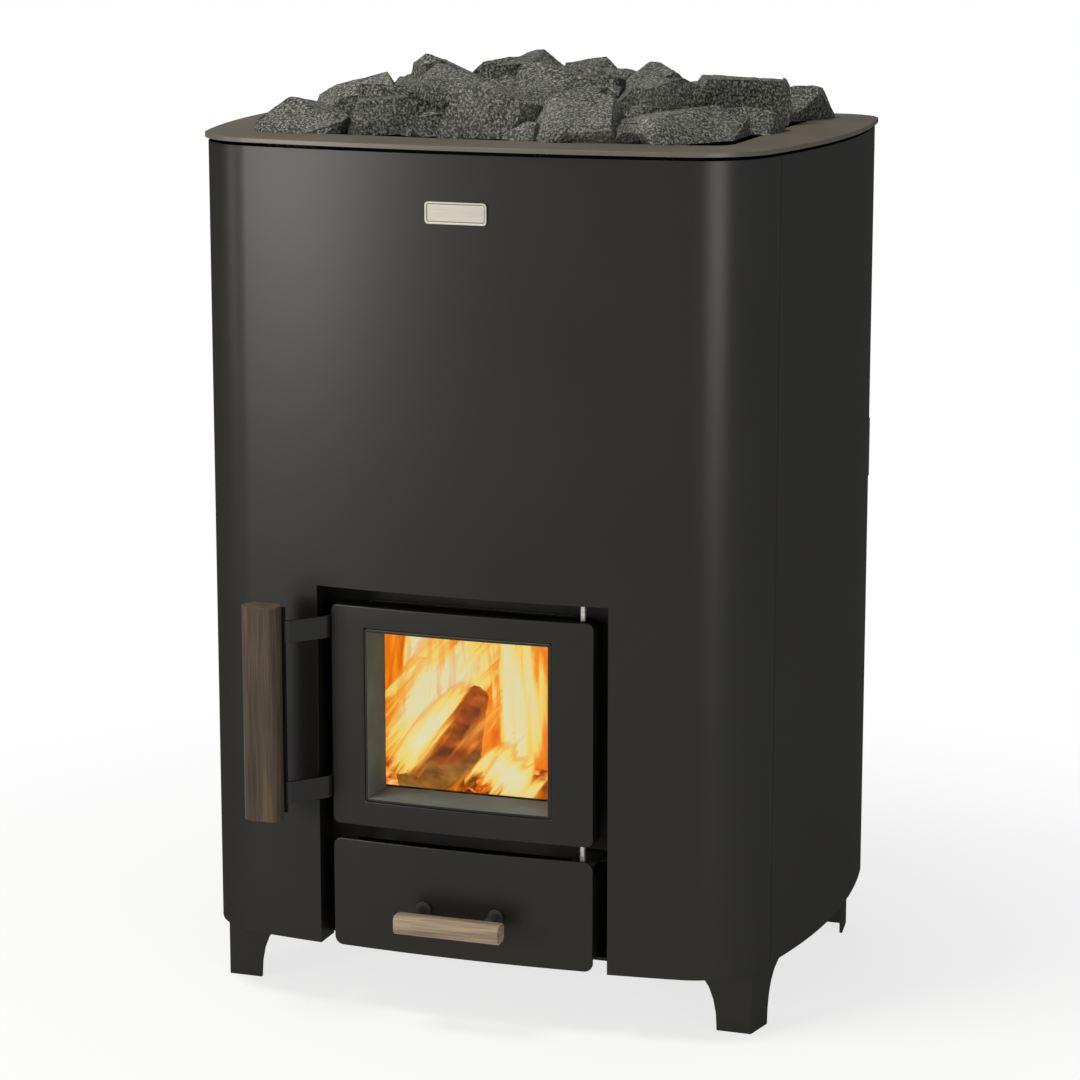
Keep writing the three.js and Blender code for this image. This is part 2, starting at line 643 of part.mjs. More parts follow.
// Vertical wooden grip on a bent bracket that reaches round the door's left edge
function buildHandle() {
  const backing = front - HANDLE_REACH;
  const bendX = -doorHalf - HANDLE_OFFSET;
  const edgeX = -doorHalf - FIT - BRACKET_SHEET / 2;
  const edgeY = bowY(doorHalf) + DOOR_RECESS;
  const sheetY = backing + BRACKET_SHEET / 2;
  const innerX = bendX - GRIP_WIDTH + BACKING_MARGIN;
  const bends = [[innerX, sheetY], [bendX, sheetY], [edgeX, edgeY], [edgeX, edgeY + ARM_FOOT]];
  const arm = ribbon(bends, BRACKET_SHEET);
  const gripBottom = doorBottom + GRIP_RISE;
  const gripTop = gripBottom + GRIP_LENGTH;
  const lowerArm = doorBottom + LOWER_ARM_MARGIN;
  const upperArm = doorTop - UPPER_ARM_MARGIN - ARM_HEIGHT;
  const spine = box(
    innerX, bendX, backing, backing + BRACKET_SHEET, gripBottom + BACKING_MARGIN, gripTop - BACKING_MARGIN);
  const lower = slab(arm, lowerArm, lowerArm + ARM_HEIGHT);
  const upper = slab(arm, upperArm, upperArm + ARM_HEIGHT);
  addPart('handle_bracket', join(spine, lower, upper), casingPaint);

  const gripBack = backing - FIT;
  const gripRight = bendX + GRIP_LAP;
  const section = rounded(
    gripRight - GRIP_WIDTH, gripRight, gripBack - GRIP_DEPTH, gripBack, GRIP_RADIUS, 6);
  addPart('handle_grip', slab(section, gripBottom, gripTop), darkWood);
}

// Hinge pin through both ears and both door flanges
function buildHinge() {
  const radius = PIN_DIAMETER / 2;
  const head = upperEarBottom + EAR_THICKNESS + FIT;
  const tail = lowerEarTop - EAR_THICKNESS - PIN_TAIL;
  const profile = [
    [0, tail], [radius, tail], [radius, head], [PIN_HEAD_DIAMETER / 2, head],
    [PIN_HEAD_DIAMETER / 2, head + PIN_HEAD_HEIGHT], [0, head + PIN_HEAD_HEIGHT],
  ];
  addPart('hinge_pin', turned(profile, hingeX, hingeY, 16), bareSteel);
}

// Ash drawer
function buildDrawer() {
  const leaf = rounded(-doorHalf, doorHalf, drawerBottom, drawerTop, DRAWER_CORNER_RADIUS);
  const sheetBack = DOOR_RECESS + DRAWER_SHEET;
  const band = bowBand(DOOR_RECESS, sheetBack, drawerBottom - OVERCUT, drawerTop + OVERCUT);
  addPart('drawer_front', common(band, plate(leaf, front - OVERCUT, 0)), casingPaint);

  const half = TRAY_WIDTH / 2;
  const trayBottom = baseTop + FIT;
  const trayFront = sheetBack + FIT;
  const trayRear = shellRear - FIREBOX_WALL - TRAY_REAR_GAP;
  const tub = (inset, z0, z1) => common(
    bowBand(trayFront + inset, CASING_DEPTH, z0, z1),
    box(inset - half, half - inset, front, trayRear - inset, z0, z1));
  const hollow = tub(TRAY_SHEET, trayBottom + TRAY_SHEET, trayBottom + TRAY_HEIGHT + OVERCUT);
  addPart('ash_tray', cut(tub(0, trayBottom, trayBottom + TRAY_HEIGHT), hollow), ironBlack);

  const gripLevel = drawerBottom + DRAWER_GRIP_HEIGHT;
  const flangeRadius = STANDOFF_FLANGE_DIAMETER / 2;
  const shankRadius = STANDOFF_SHANK_DIAMETER / 2;
  const seat = bowY(STANDOFF_SPACING / 2 - flangeRadius) + DOOR_RECESS - FIT;
  const gripBack = seat - STANDOFF_LENGTH;
  const profile = [
    [0, 0], [flangeRadius, 0], [flangeRadius, STANDOFF_FLANGE_HEIGHT], [shankRadius, STANDOFF_FLANGE_HEIGHT],
    [shankRadius, STANDOFF_LENGTH - FIT], [0, STANDOFF_LENGTH - FIT],
  ];
  const standoffLevel = gripLevel + STANDOFF_RISE;
  const standoff = (x) => turned(profile, 0, 0).rotateX(Math.PI / 2).translate(x, seat, standoffLevel);
  addPart('drawer_standoff_left', standoff(-STANDOFF_SPACING / 2), ironBlack);
  addPart('drawer_standoff_right', standoff(STANDOFF_SPACING / 2), ironBlack);

  const side = DRAWER_GRIP_SECTION / 2;
  const bevel = side - DRAWER_GRIP_CHAMFER;
  const section = [
    [-bevel, -side], [bevel, -side], [side, -bevel], [side, bevel],
    [bevel, side], [-bevel, side], [-side, bevel], [-side, -bevel],
  ];
  const bar = slab(section, -DRAWER_GRIP_LENGTH / 2, DRAWER_GRIP_LENGTH / 2).rotateY(Math.PI / 2);
  addPart('drawer_grip', bar.translate(0, gripBack - side, gripLevel), paleWood);
}

// Fire chamber over an ash pit, closed by a face plate with the hinge ears
const flueLevel = shellTop - FIREBOX_WALL - FLUE_TOP_GAP - FLUE_DIAMETER / 2;

function buildFirebox() {
  const half = FIREBOX_WIDTH / 2;
  const inner = half - FIREBOX_WALL;
  const innerRear = shellRear - FIREBOX_WALL;
  const block = box(-half, half, shellFront, shellRear, shellBottom, shellTop);
  const chamber = box(-inner, inner, shellFront - OVERCUT, innerRear, hearthTop, shellTop - FIREBOX_WALL);
  const ashPit = box(
    -inner, inner, shellFront - OVERCUT, innerRear, shellBottom - OVERCUT, hearthTop - FIREBOX_WALL);
  const grateY = (shellFront + shellRear) / 2;
  const holeX = GRATE_WIDTH / 2 - GRATE_SEAT;
  const holeY = GRATE_LENGTH / 2 - GRATE_SEAT;
  const hearthHole = box(
    -holeX, holeX, grateY - holeY, grateY + holeY, hearthTop - FIREBOX_WALL - OVERCUT, hearthTop + OVERCUT);
  const flueInside = circle(0, flueLevel, FLUE_DIAMETER / 2 - FLUE_WALL);
  const flueBore = plate(flueInside, innerRear - OVERCUT, shellRear + OVERCUT);
  addPart('firebox_shell', cut(block, chamber, ashPit, hearthHole, flueBore), ironBlack);

  const trayHalf = TRAY_WIDTH / 2 + TRAY_APERTURE_GAP;
  const trayTop = baseTop + FIT + TRAY_HEIGHT + TRAY_APERTURE_GAP;
  const fireHole = rectangle(...grown(windowEdges, gasketInner - WINDOW_BACK_LIP));
  const face = rectangle(-half, half, shellBottom, shellTop);
  const tall = plate(face, faceFront, faceFront + FACE_THICKNESS, [fireHole]);
  const drawerHole = box(
    -trayHalf, trayHalf, faceFront - OVERCUT, shellFront, shellBottom - OVERCUT, trayTop);
  const earOutline = rectangle(
    hingeX - EAR_WIDTH / 2, hingeX + EAR_WIDTH / 2, hingeY - EAR_NOSE, faceFront + FIT);
  const bore = circle(hingeX, hingeY, pinHole, 16);
  const upperEar = slab(earOutline, upperEarBottom, upperEarBottom + EAR_THICKNESS, [bore]);
  const lowerEar = slab(earOutline, lowerEarTop - EAR_THICKNESS, lowerEarTop, [bore]);
  addPart('firebox_front', join(cut(tall, drawerHole), upperEar, lowerEar), ironBlack);

  const slots = [];
  for (let i = 0; i < GRATE_SLOTS; i += 1) {
    const x = (i - (GRATE_SLOTS - 1) / 2) * GRATE_SLOT_PITCH;
    const reach = GRATE_LENGTH / 2 - GRATE_SLOT_END;
    slots.push(box(
      x - GRATE_SLOT_WIDTH / 2, x + GRATE_SLOT_WIDTH / 2, grateY - reach, grateY + reach,
      hearthTop - OVERCUT, hearthTop + GRATE_THICKNESS + OVERCUT));
  }
  const grate = box(
    -GRATE_WIDTH / 2, GRATE_WIDTH / 2, grateY - GRATE_LENGTH / 2, grateY + GRATE_LENGTH / 2,
    hearthTop + FIT, hearthTop + FIT + GRATE_THICKNESS);
  addPart('fire_grate', cut(grate, ...slots), ironBlack);

  const baffleTop = flueLevel - FLUE_DIAMETER / 2 - FLUE_TOP_GAP;
  const baffleRear = innerRear - FIT;
  const baffle = box(
    FIT - inner, inner - FIT, baffleRear - BAFFLE_LENGTH, baffleRear,
    baffleTop - BAFFLE_THICKNESS, baffleTop);
  addPart('smoke_baffle', baffle, ironBlack);

  const flueRing = circle(0, flueLevel, FLUE_DIAMETER / 2);
  addPart('flue_collar', plate(flueRing, shellRear + FIT, rear + FLUE_REACH, [flueInside]), ironBlack);
}

// Bare nameplate with a raised border, and the two rear spacers
function buildTrim() {
  const half = NAMEPLATE_WIDTH / 2;
  const level = panelTop - NAMEPLATE_DROP;
  const seat = front - FIT;
  const raised = seat - NAMEPLATE_THICKNESS - NAMEPLATE_RAISE;
  const sheet = rectangle(-half, half, level - NAMEPLATE_HEIGHT, level);
  const field = rectangle(
    NAMEPLATE_BORDER - half, half - NAMEPLATE_BORDER, level - NAMEPLATE_HEIGHT + NAMEPLATE_BORDER,
    level - NAMEPLATE_BORDER);
  const base = plate(sheet, seat - NAMEPLATE_THICKNESS, seat);
  addPart('nameplate', join(base, plate(sheet, raised, seat, [field])), plateAluminium);

  const outerX = CASING_WIDTH / 2 - SPACER_INSET;
  const bend = rear + FIT + SPACER_SHEET / 2;
  const path = [[outerX - SPACER_WIDTH, bend], [outerX, bend], [outerX, bend + SPACER_REACH]];
  const spacer = slab(ribbon(path, SPACER_SHEET), SPACER_LEVEL, SPACER_LEVEL + SPACER_HEIGHT);
  addPart('rear_spacer_right', spacer, ironBlack);
  addPart('rear_spacer_left', mirrorX(spacer), ironBlack);
}

buildCasing();
buildRim();
buildStones();
buildFeet();
buildFirebox();
buildHinge();
buildDoor();
buildHandle();
buildDrawer();
buildTrim();

// The origin stays under the middle of the whole depth, from the door grip to the flue collar
const gripFront = front - HANDLE_REACH - FIT - GRIP_DEPTH;
const collarRear = rear + FLUE_REACH;
stove.position.y = -(gripFront + collarRear) / 2;

export default stove;
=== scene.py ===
import math
import random

import bpy
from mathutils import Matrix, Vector


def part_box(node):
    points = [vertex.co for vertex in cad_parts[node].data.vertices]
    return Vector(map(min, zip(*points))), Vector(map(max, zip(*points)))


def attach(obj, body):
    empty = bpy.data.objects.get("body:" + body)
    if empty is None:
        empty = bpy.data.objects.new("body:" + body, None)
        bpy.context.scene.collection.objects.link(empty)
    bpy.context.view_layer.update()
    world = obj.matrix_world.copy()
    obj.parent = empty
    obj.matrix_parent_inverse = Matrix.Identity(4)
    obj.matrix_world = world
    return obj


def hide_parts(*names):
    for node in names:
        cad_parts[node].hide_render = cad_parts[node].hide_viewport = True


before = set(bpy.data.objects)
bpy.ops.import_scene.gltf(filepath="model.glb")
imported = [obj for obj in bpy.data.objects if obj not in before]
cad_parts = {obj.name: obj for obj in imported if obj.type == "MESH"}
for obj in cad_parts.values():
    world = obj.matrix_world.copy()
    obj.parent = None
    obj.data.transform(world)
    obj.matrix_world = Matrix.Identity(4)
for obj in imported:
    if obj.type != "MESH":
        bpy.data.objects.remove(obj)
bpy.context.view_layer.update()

MM = 0.001
MERGE_DISTANCE = 0.02 * MM
SHARP_ANGLE = 40
CHANCE = random.Random(7)

# Plan of the casing in millimetres, as in the part's source: tangent arcs from front to back.
# Only PANEL_TOP differs: it is 2.7 lower, so that the dark line under the rim shows
FRONT = -207
REAR = 207
CASING_HALF = 280
PANEL_BOTTOM = 60
PANEL_TOP = 773
CASING_SHEET = 2
SHEET_EDGE = 0.8
BOW_HALF = 200
BOW_RADIUS = 1426
CORNER_RADIUS = 69
SIDE_RADIUS = 741
REAR_RADIUS = 40
REAR_FLANGE = 25
SEAM_BEHIND_CORNER = 19
SEAM_GAP = 0.6
BOW_TURN = math.degrees(math.asin(BOW_HALF / BOW_RADIUS))
BOW_CENTRE = (0, FRONT + BOW_RADIUS)
CORNER_REACH = BOW_RADIUS - CORNER_RADIUS
CORNER_CENTRE = (
    CORNER_REACH * math.sin(math.radians(BOW_TURN)),
    BOW_CENTRE[1] - CORNER_REACH * math.cos(math.radians(BOW_TURN)))
SIDE_X = CASING_HALF - SIDE_RADIUS
SIDE_REACH = SIDE_RADIUS - CORNER_RADIUS
SIDE_CENTRE = (
    SIDE_X,
    CORNER_CENTRE[1] + math.sqrt(SIDE_REACH ** 2 - (CORNER_CENTRE[0] - SIDE_X) ** 2))
REAR_Y = REAR - REAR_RADIUS
REAR_REACH = SIDE_RADIUS - REAR_RADIUS
REAR_CENTRE = (
    SIDE_X + math.sqrt(REAR_REACH ** 2 - (REAR_Y - SIDE_CENTRE[1]) ** 2),
    REAR_Y)
SIDE_START = math.degrees(math.atan2(CORNER_CENTRE[1] - SIDE_CENTRE[1], CORNER_CENTRE[0] - SIDE_X))
SIDE_END = math.degrees(math.atan2(REAR_Y - SIDE_CENTRE[1], REAR_CENTRE[0] - SIDE_X))
SEAM_TURN = math.degrees(SEAM_BEHIND_CORNER / SIDE_RADIUS)
SEAM_GAP_TURN = math.degrees(SEAM_GAP / SIDE_RADIUS)

# Rim round the stones, and its opening
RIM_TOP = 780
RIM_OVERHANG = 3
RIM_SHEET = 4
RIM_FRONT = 62
LIP_SHEET = 2.2
LIP_DEPTH = 14
OPENING_HALF = 218
OPENING_REAR = 192
OPENING_CORNER = 22

# Doorway, door and drawer
CUTOUT_HALF = 135
CUTOUT_TOP = 389
DOORWAY_RETURN = 30
DOOR_HALF = 122
DOOR_BOTTOM = 174
DOOR_TOP = 374
DOOR_CORNER = 6
DOOR_DEPTH = 22
DOOR_EDGE = 1.4
WINDOW = (-90, 84, 197, 354)
DRAWER_BOTTOM = 60.5
DRAWER_TOP = 160.5
DRAWER_CORNER = 8
DRAWER_EDGE = 1.3
LEAF_RADIUS = BOW_RADIUS - 1
LEAF_SHEET = 3
HINGE = (109, -190)


# Modelling by hand: small helpers round the operators
def metres(*values):
    """Millimetres as metres."""
    return tuple(value * MM for value in values)


def span(source):
    """The lowest and highest corners of a CAD node, in millimetres."""
    return [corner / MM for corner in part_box(source)]


def settle(name):
    """Names the primitive just added and puts its place into its mesh."""
    piece = bpy.context.object
    piece.name = name
    bpy.ops.object.transform_apply(location=True, rotation=True, scale=True)
    return piece


def drop_selection():
    if bpy.context.object and bpy.context.object.mode != "OBJECT":
        bpy.ops.object.mode_set(mode="OBJECT")
    bpy.ops.object.select_all(action="DESELECT")


def make_active(piece):
    drop_selection()
    piece.select_set(True)
    bpy.context.view_layer.objects.active = piece


def open_whole(piece):
    """Opens the piece for editing with its whole mesh selected."""
    make_active(piece)
    bpy.ops.object.mode_set(mode="EDIT")
    bpy.ops.mesh.select_all(action="SELECT")


def pick(piece, kind, test, within=False):
    """Leaves the piece in edit mode with only those points, edges or faces selected that pass the
    test. It gets their middle in millimetres. Within keeps only what was selected before."""
    if not within:
        make_active(piece)
        bpy.ops.object.mode_set(mode="EDIT")
        bpy.ops.mesh.select_mode(type=kind)
        bpy.ops.mesh.select_all(action="DESELECT")
    bpy.ops.object.mode_set(mode="OBJECT")
    mesh = piece.data
    for item in {"VERT": mesh.vertices, "EDGE": mesh.edges, "FACE": mesh.polygons}[kind]:
        corners = [item.co] if kind == "VERT" else [mesh.vertices[i].co for i in item.vertices]
        middle = sum(corners, Vector()) / len(corners) / MM
        item.select = bool(test(middle, item)) and (item.select or not within)
    bpy.ops.object.mode_set(mode="EDIT")


def pull(x, y, z):
    """Extrudes what is selected by a step in millimetres."""
    bpy.ops.mesh.extrude_region_move(TRANSFORM_OT_translate={"value": metres(x, y, z)})


def dot(x, y, z):
    """One selected point in the mesh that is open for editing."""
    bpy.ops.mesh.primitive_plane_add(size=MM, location=metres(x, y, z))
    bpy.ops.mesh.merge(type="CENTER")


def start_dot(name, x, y, z):
    """A new object that is one point, open for editing."""
    drop_selection()
    bpy.ops.mesh.primitive_plane_add(size=MM, location=metres(x, y, z))
    piece = settle(name)
    bpy.ops.object.mode_set(mode="EDIT")
    bpy.ops.mesh.select_mode(type="VERT")
    bpy.ops.mesh.select_all(action="SELECT")
    bpy.ops.mesh.merge(type="CENTER")
    return piece


def start_upright(name, x, y, levels):
    """A selected upright edge with a point at each level: the start of a rolled sheet."""
    piece = start_dot(name, x, y, levels[0])
    for low, high in zip(levels, levels[1:]):
        pull(0, 0, high - low)
    bpy.ops.mesh.select_all(action="SELECT")
    return piece


def roll(turn, centre, steps):
    """Rolls what is selected round an upright axis, by degrees anticlockwise seen from above."""
    bpy.ops.mesh.spin(
        steps=steps, angle=-math.radians(turn), center=metres(*centre, 0), axis=(0, 0, 1))


def block(name, low, high):
    """A rectangular blank between two corners, in millimetres."""
    drop_selection()
    bpy.ops.mesh.primitive_cube_add(
        size=1, location=[(a + b) / 2 * MM for a, b in zip(low, high)],
        scale=[(b - a) * MM for a, b in zip(low, high)])
    return settle(name)


def rod(name, sides, radius, length, place, lying=False, ends="NGON"):
    """A round blank in millimetres, upright or lying from front to back."""
    drop_selection()
    bpy.ops.mesh.primitive_cylinder_add(
        vertices=sides, radius=radius * MM, depth=length * MM, end_fill_type=ends,
        location=metres(*place), rotation=(math.pi / 2 if lying else 0, 0, 0))
    return settle(name)


def work(piece, kind, **settings):
    """Adds one modifier with its settings and applies it."""
    make_active(piece)
    modifier = piece.modifiers.new(kind.lower(), kind)
    for key, value in settings.items():
        setattr(modifier, key, value)
    bpy.ops.object.modifier_apply(modifier=modifier.name)


def add_other_half(piece):
    """Mirrors the right half of a piece to the left."""
    work(piece, "MIRROR", use_axis=(True, False, False), merge_threshold=MERGE_DISTANCE)


def join(piece, other):
    """Makes one object of two."""
    make_active(piece)
    other.select_set(True)
    bpy.ops.object.join()


def close_up(piece):
    """Merges doubled points and turns the faces outwards."""
    open_whole(piece)
    bpy.ops.mesh.remove_doubles(threshold=MERGE_DISTANCE)
    bpy.ops.mesh.normals_make_consistent(inside=False)
    bpy.ops.object.mode_set(mode="OBJECT")


def soften(piece, width, segments=2, smooth=35):
    """Breaks the sharp edges and shades the curves smoothly, with flat faces kept flat."""
    work(piece, "BEVEL", width=width * MM, segments=segments, limit_method="ANGLE",
         angle_limit=math.radians(SHARP_ANGLE), use_clamp_overlap=True)
    bpy.ops.object.shade_smooth_by_angle(angle=math.radians(smooth))
    work(piece, "WEIGHTED_NORMAL", keep_sharp=True)


def make_sheet(piece, thickness, edge, outward):
    """Gives a rolled surface its thickness inwards from the face that looks along outward."""
    close_up(piece)
    outward = Vector(outward)
    biggest = max(piece.data.polygons, key=lambda face: face.area * abs(face.normal.dot(outward)))
    if biggest.normal.dot(outward) < 0:
        open_whole(piece)
        bpy.ops.mesh.flip_normals()
    work(piece, "SOLIDIFY", thickness=thickness * MM, offset=-1, use_even_offset=True)
    soften(piece, edge)


def divide(piece, levels):
    """Cuts the faces up finely without rounding them, ready to be roughened."""
    work(piece, "TRIANGULATE")
    work(piece, "SUBSURF", subdivision_type="SIMPLE", levels=levels, render_levels=levels)


def lumpy(name, size, depth=2):
    """A cloud pattern to roughen with, with lumps of about that size in millimetres."""
    pattern = bpy.data.textures.new(name, "CLOUDS")
    pattern.noise_scale = size * MM
    pattern.noise_depth = depth
    return pattern


def roughen(piece, pattern, height, level, **settings):
    """Pushes the mesh in and out by a pattern, by up to that many millimetres in all."""
    work(piece, "DISPLACE", texture=pattern, texture_coords="LOCAL", strength=height * MM,
         mid_level=level, **settings)


def twin(piece, name):
    """A copy with its own mesh, mirrored across the middle."""
    make_active(piece)
    bpy.ops.object.duplicate()
    copy = bpy.context.object
    copy.name = name
    copy.scale = (-1, 1, 1)
    bpy.ops.object.transform_apply(location=False, rotation=False, scale=True)
    close_up(copy)
    return copy


def blank_from(source, name):
    """A merged copy of a CAD node's mesh in a new object, with its flat faces whole."""
    piece = start_dot(name, 0, 0, 0)
    bpy.ops.object.mode_set(mode="OBJECT")
    piece.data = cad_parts[source].data.copy()
    piece.data.materials.clear()
    open_whole(piece)
    bpy.ops.mesh.remove_doubles(threshold=MERGE_DISTANCE)
    bpy.ops.mesh.dissolve_limited(angle_limit=math.radians(0.3))
    bpy.ops.object.mode_set(mode="OBJECT")
    return piece


def fit(piece, body, slot, finish, *nodes):
    """Paints the piece, lets it ride on its body and stand for its CAD nodes."""
    piece.data.materials.clear()
    piece.data.materials.append(finish)
    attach(piece, body)
    if nodes:
        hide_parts(*nodes)


# Finishes
def linear(code):
    """An sRGB hex colour as linear RGBA."""
    parts = [int(code[i:i + 2], 16) / 255 for i in (1, 3, 5)]
    return [p / 12.92 if p <= 0.04045 else ((p + 0.055) / 1.055) ** 2.4 for p in parts] + [1]


def set_inputs(tree, made, inputs):
    """Links each named input to a socket, or sets it to a value."""
    for key, value in inputs.items():
        if isinstance(value, bpy.types.NodeSocket):
            tree.links.new(value, made.inputs[key])
        else:
            made.inputs[key].default_value = value


def node(tree, kind, inputs=None, ramp=None, **settings):
    """Adds one shader node with its settings and links; ramp gives colour stops."""
    made = tree.nodes.new("ShaderNode" + kind)
    for key, value in settings.items():
        setattr(made, key, value)
    set_inputs(tree, made, inputs or {})
    if ramp:
        stops = made.color_ramp.elements
        while len(stops) < len(ramp):
            stops.new(0.5)
        for stop, (place, code) in zip(stops, ramp):
            stop.position = place
            stop.color = linear(code)
    return made


def new_finish(name):
    """An empty material with its tree, shader and Object coordinates."""
    finish = bpy.data.materials.new(name)
    finish.use_nodes = True
    tree = finish.node_tree
    tree.nodes.clear()
    shader = node(tree, "BsdfPrincipled")
    node(tree, "OutputMaterial", {"Surface": shader.outputs[0]})
    place = node(tree, "TexCoord").outputs["Object"]
    return finish, tree, shader, place


def per_mm(size):
    """Pattern scale for a feature of that size in millimetres."""
    return 1000 / size


def satin_powder_coat(name, dark, light):
    """Heat-proof powder coat, sprayed and baked: one warm dark tone with a dull even sheen and a
    fine orange peel."""
    finish, tree, shader, place = new_finish(name)
    cloud = node(tree, "TexNoise", {"Vector": place, "Scale": per_mm(160), "Detail": 3})
    tone = node(tree, "ValToRGB", {"Fac": cloud.outputs["Fac"]}, [(0.3, dark), (0.7, light)])
    # The real grain is under half a millimetre; drawn at 1.6 mm so that it shows
    peel = node(tree, "TexNoise", {"Vector": place, "Scale": per_mm(1.6), "Detail": 2})
    bump = node(tree, "Bump", {"Height": peel.outputs["Fac"], "Strength": 0.08, "Distance": 0.0004})
    gloss = node(tree, "MapRange", {"Value": cloud.outputs["Fac"], "To Min": 0.31, "To Max": 0.36})
    # A dull film shines about as much at a slant as straight on, as a thin coat of high index does
    set_inputs(tree, shader, {
        "Base Color": tone.outputs["Color"], "Normal": bump.outputs["Normal"],
        "Specular IOR Level": 0, "Coat Weight": 0.06, "Coat IOR": 4,
        "Coat Roughness": gloss.outputs["Result"], "Coat Normal": bump.outputs["Normal"]})
    return finish


def matt_stove_black():
    """Matt black stove enamel on sheet steel: sooty, nearly without shine, greyer where rubbed."""
    finish, tree, shader, place = new_finish("matt_stove_black")
    cloud = node(tree, "TexNoise", {"Vector": place, "Scale": per_mm(45), "Detail": 5})
    tone = node(tree, "ValToRGB", {"Fac": cloud.outputs["Fac"]},
                [(0.3, "#1d1c1b"), (0.75, "#32312d")])
    grit = node(tree, "TexNoise", {"Vector": place, "Scale": per_mm(1.5), "Detail": 2})
    bump = node(tree, "Bump", {"Height": grit.outputs["Fac"], "Strength": 0.2, "Distance": 0.0004})
    set_inputs(tree, shader, {
        "Base Color": tone.outputs["Color"], "Normal": bump.outputs["Normal"],
        "Roughness": 0.62, "Specular IOR Level": 0.2})
    return finish


def reveal_enamel():
    """The window reveal's enamel: a greyer, slightly shinier film than the black steel, with a cool
    tint painted in against the fire's orange light.
    """
    finish, tree, shader, place = new_finish("reveal_enamel")
    cloud = node(tree, "TexNoise", {"Vector": place, "Scale": per_mm(30), "Detail": 4})
    # The green-grey tint is painted in to cancel the orange light that the fire throws on the reveal
    tone = node(tree, "ValToRGB", {"Fac": cloud.outputs["Fac"]},
                [(0.3, "#515753"), (0.7, "#646a66")])
    set_inputs(tree, shader, {
        "Base Color": tone.outputs["Color"], "Roughness": 0.6, "Specular IOR Level": 0.25})
    return finish


def grey_cast_iron():
    """Sand-cast grey iron: coarse dull grain with a trace of rust brown."""
    finish, tree, shader, place = new_finish("grey_cast_iron")
    cloud = node(tree, "TexNoise", {"Vector": place, "Scale": per_mm(20), "Detail": 6})
    tone = node(tree, "ValToRGB", {"Fac": cloud.outputs["Fac"]},
                [(0.3, "#2a2826"), (0.6, "#3b3733"), (0.8, "#4a3529")])
    sand = node(tree, "TexNoise", {"Vector": place, "Scale": per_mm(2), "Detail": 3})
    bump = node(tree, "Bump", {"Height": sand.outputs["Fac"], "Strength": 0.5, "Distance": 0.0006})
    set_inputs(tree, shader, {
        "Base Color": tone.outputs["Color"], "Normal": bump.outputs["Normal"],
        "Metallic": 0.5, "Roughness": 0.7})
    return finish


def satin_aluminium():
    """Stamped aluminium with a satin brushed face: pale silver with fine lines along its length."""
    finish, tree, shader, place = new_finish("satin_aluminium")
    drawn = node(tree, "Mapping", {"Vector": place, "Scale": (per_mm(30), per_mm(1), per_mm(0.5))})
    lines = node(tree, "TexNoise", {"Vector": drawn.outputs["Vector"], "Scale": 1, "Detail": 2})
    tone = node(tree, "ValToRGB", {"Fac": lines.outputs["Fac"]},
                [(0.3, "#98958b"), (0.7, "#a6a399")])
    bump = node(tree, "Bump", {"Height": lines.outputs["Fac"], "Strength": 0.15, "Distance": 0.0002})
    set_inputs(tree, shader, {
        "Base Color": tone.outputs["Color"], "Normal": bump.outputs["Normal"],
        "Metallic": 0.6, "Roughness": 0.38})
    return finish


def drawn_steel():
    """Bright drawn steel rod: clean silver with faint rings from the die."""
    finish, tree, shader, place = new_finish("drawn_steel")
    rings = node(tree, "Mapping", {"Vector": place, "Scale": (per_mm(8), per_mm(8), per_mm(1.2))})
    lines = node(tree, "TexNoise", {"Vector": rings.outputs["Vector"], "Scale": 1, "Detail": 2})
    tone = node(tree, "ValToRGB", {"Fac": lines.outputs["Fac"]},
                [(0.3, "#a6a6a0"), (0.7, "#bebeb8")])
    set_inputs(tree, shader, {
        "Base Color": tone.outputs["Color"], "Metallic": 0.7, "Roughness": 0.32})
    return finish


def ceramic_glass():
    """Clear glass-ceramic fire pane: almost colourless, with a light warm haze of soot."""
    finish, tree, shader, place = new_finish("ceramic_glass")
    haze = node(tree, "TexNoise", {"Vector": place, "Scale": per_mm(60), "Detail": 3})
    tone = node(tree, "ValToRGB", {"Fac": haze.outputs["Fac"]},
                [(0.3, "#fff8ee"), (0.7, "#ffffff")])
    # Glass has about 1.5, which would lay the white studio over the fire; this pane shines less
    set_inputs(tree, shader, {
        "Base Color": tone.outputs["Color"], "Transmission Weight": 1, "Roughness": 0.02, "IOR": 1.15})
    return finish


def glass_fibre_rope():
    """Braided glass-fibre door rope: dull grey with slanting strands about 3 mm wide."""
    finish, tree, shader, place = new_finish("glass_fibre_rope")
    slant = node(tree, "Mapping", {"Vector": place, "Rotation": (0.6, 0.6, 0.6)})
    # A wave texture at scale 1 repeats each 0.3 m, and a strand is half a wave
    strands = node(tree, "TexWave", {
        "Vector": slant.outputs["Vector"], "Scale": per_mm(3) / 6.3, "Distortion": 2})
    tone = node(tree, "ValToRGB", {"Fac": strands.outputs["Fac"]},
                [(0.2, "#3f3d38"), (0.8, "#63605a")])
    bump = node(tree, "Bump", {"Height": strands.outputs["Fac"], "Strength": 0.6, "Distance": 0.001})
    set_inputs(tree, shader, {
        "Base Color": tone.outputs["Color"], "Normal": bump.outputs["Normal"], "Roughness": 0.95})
    return finish


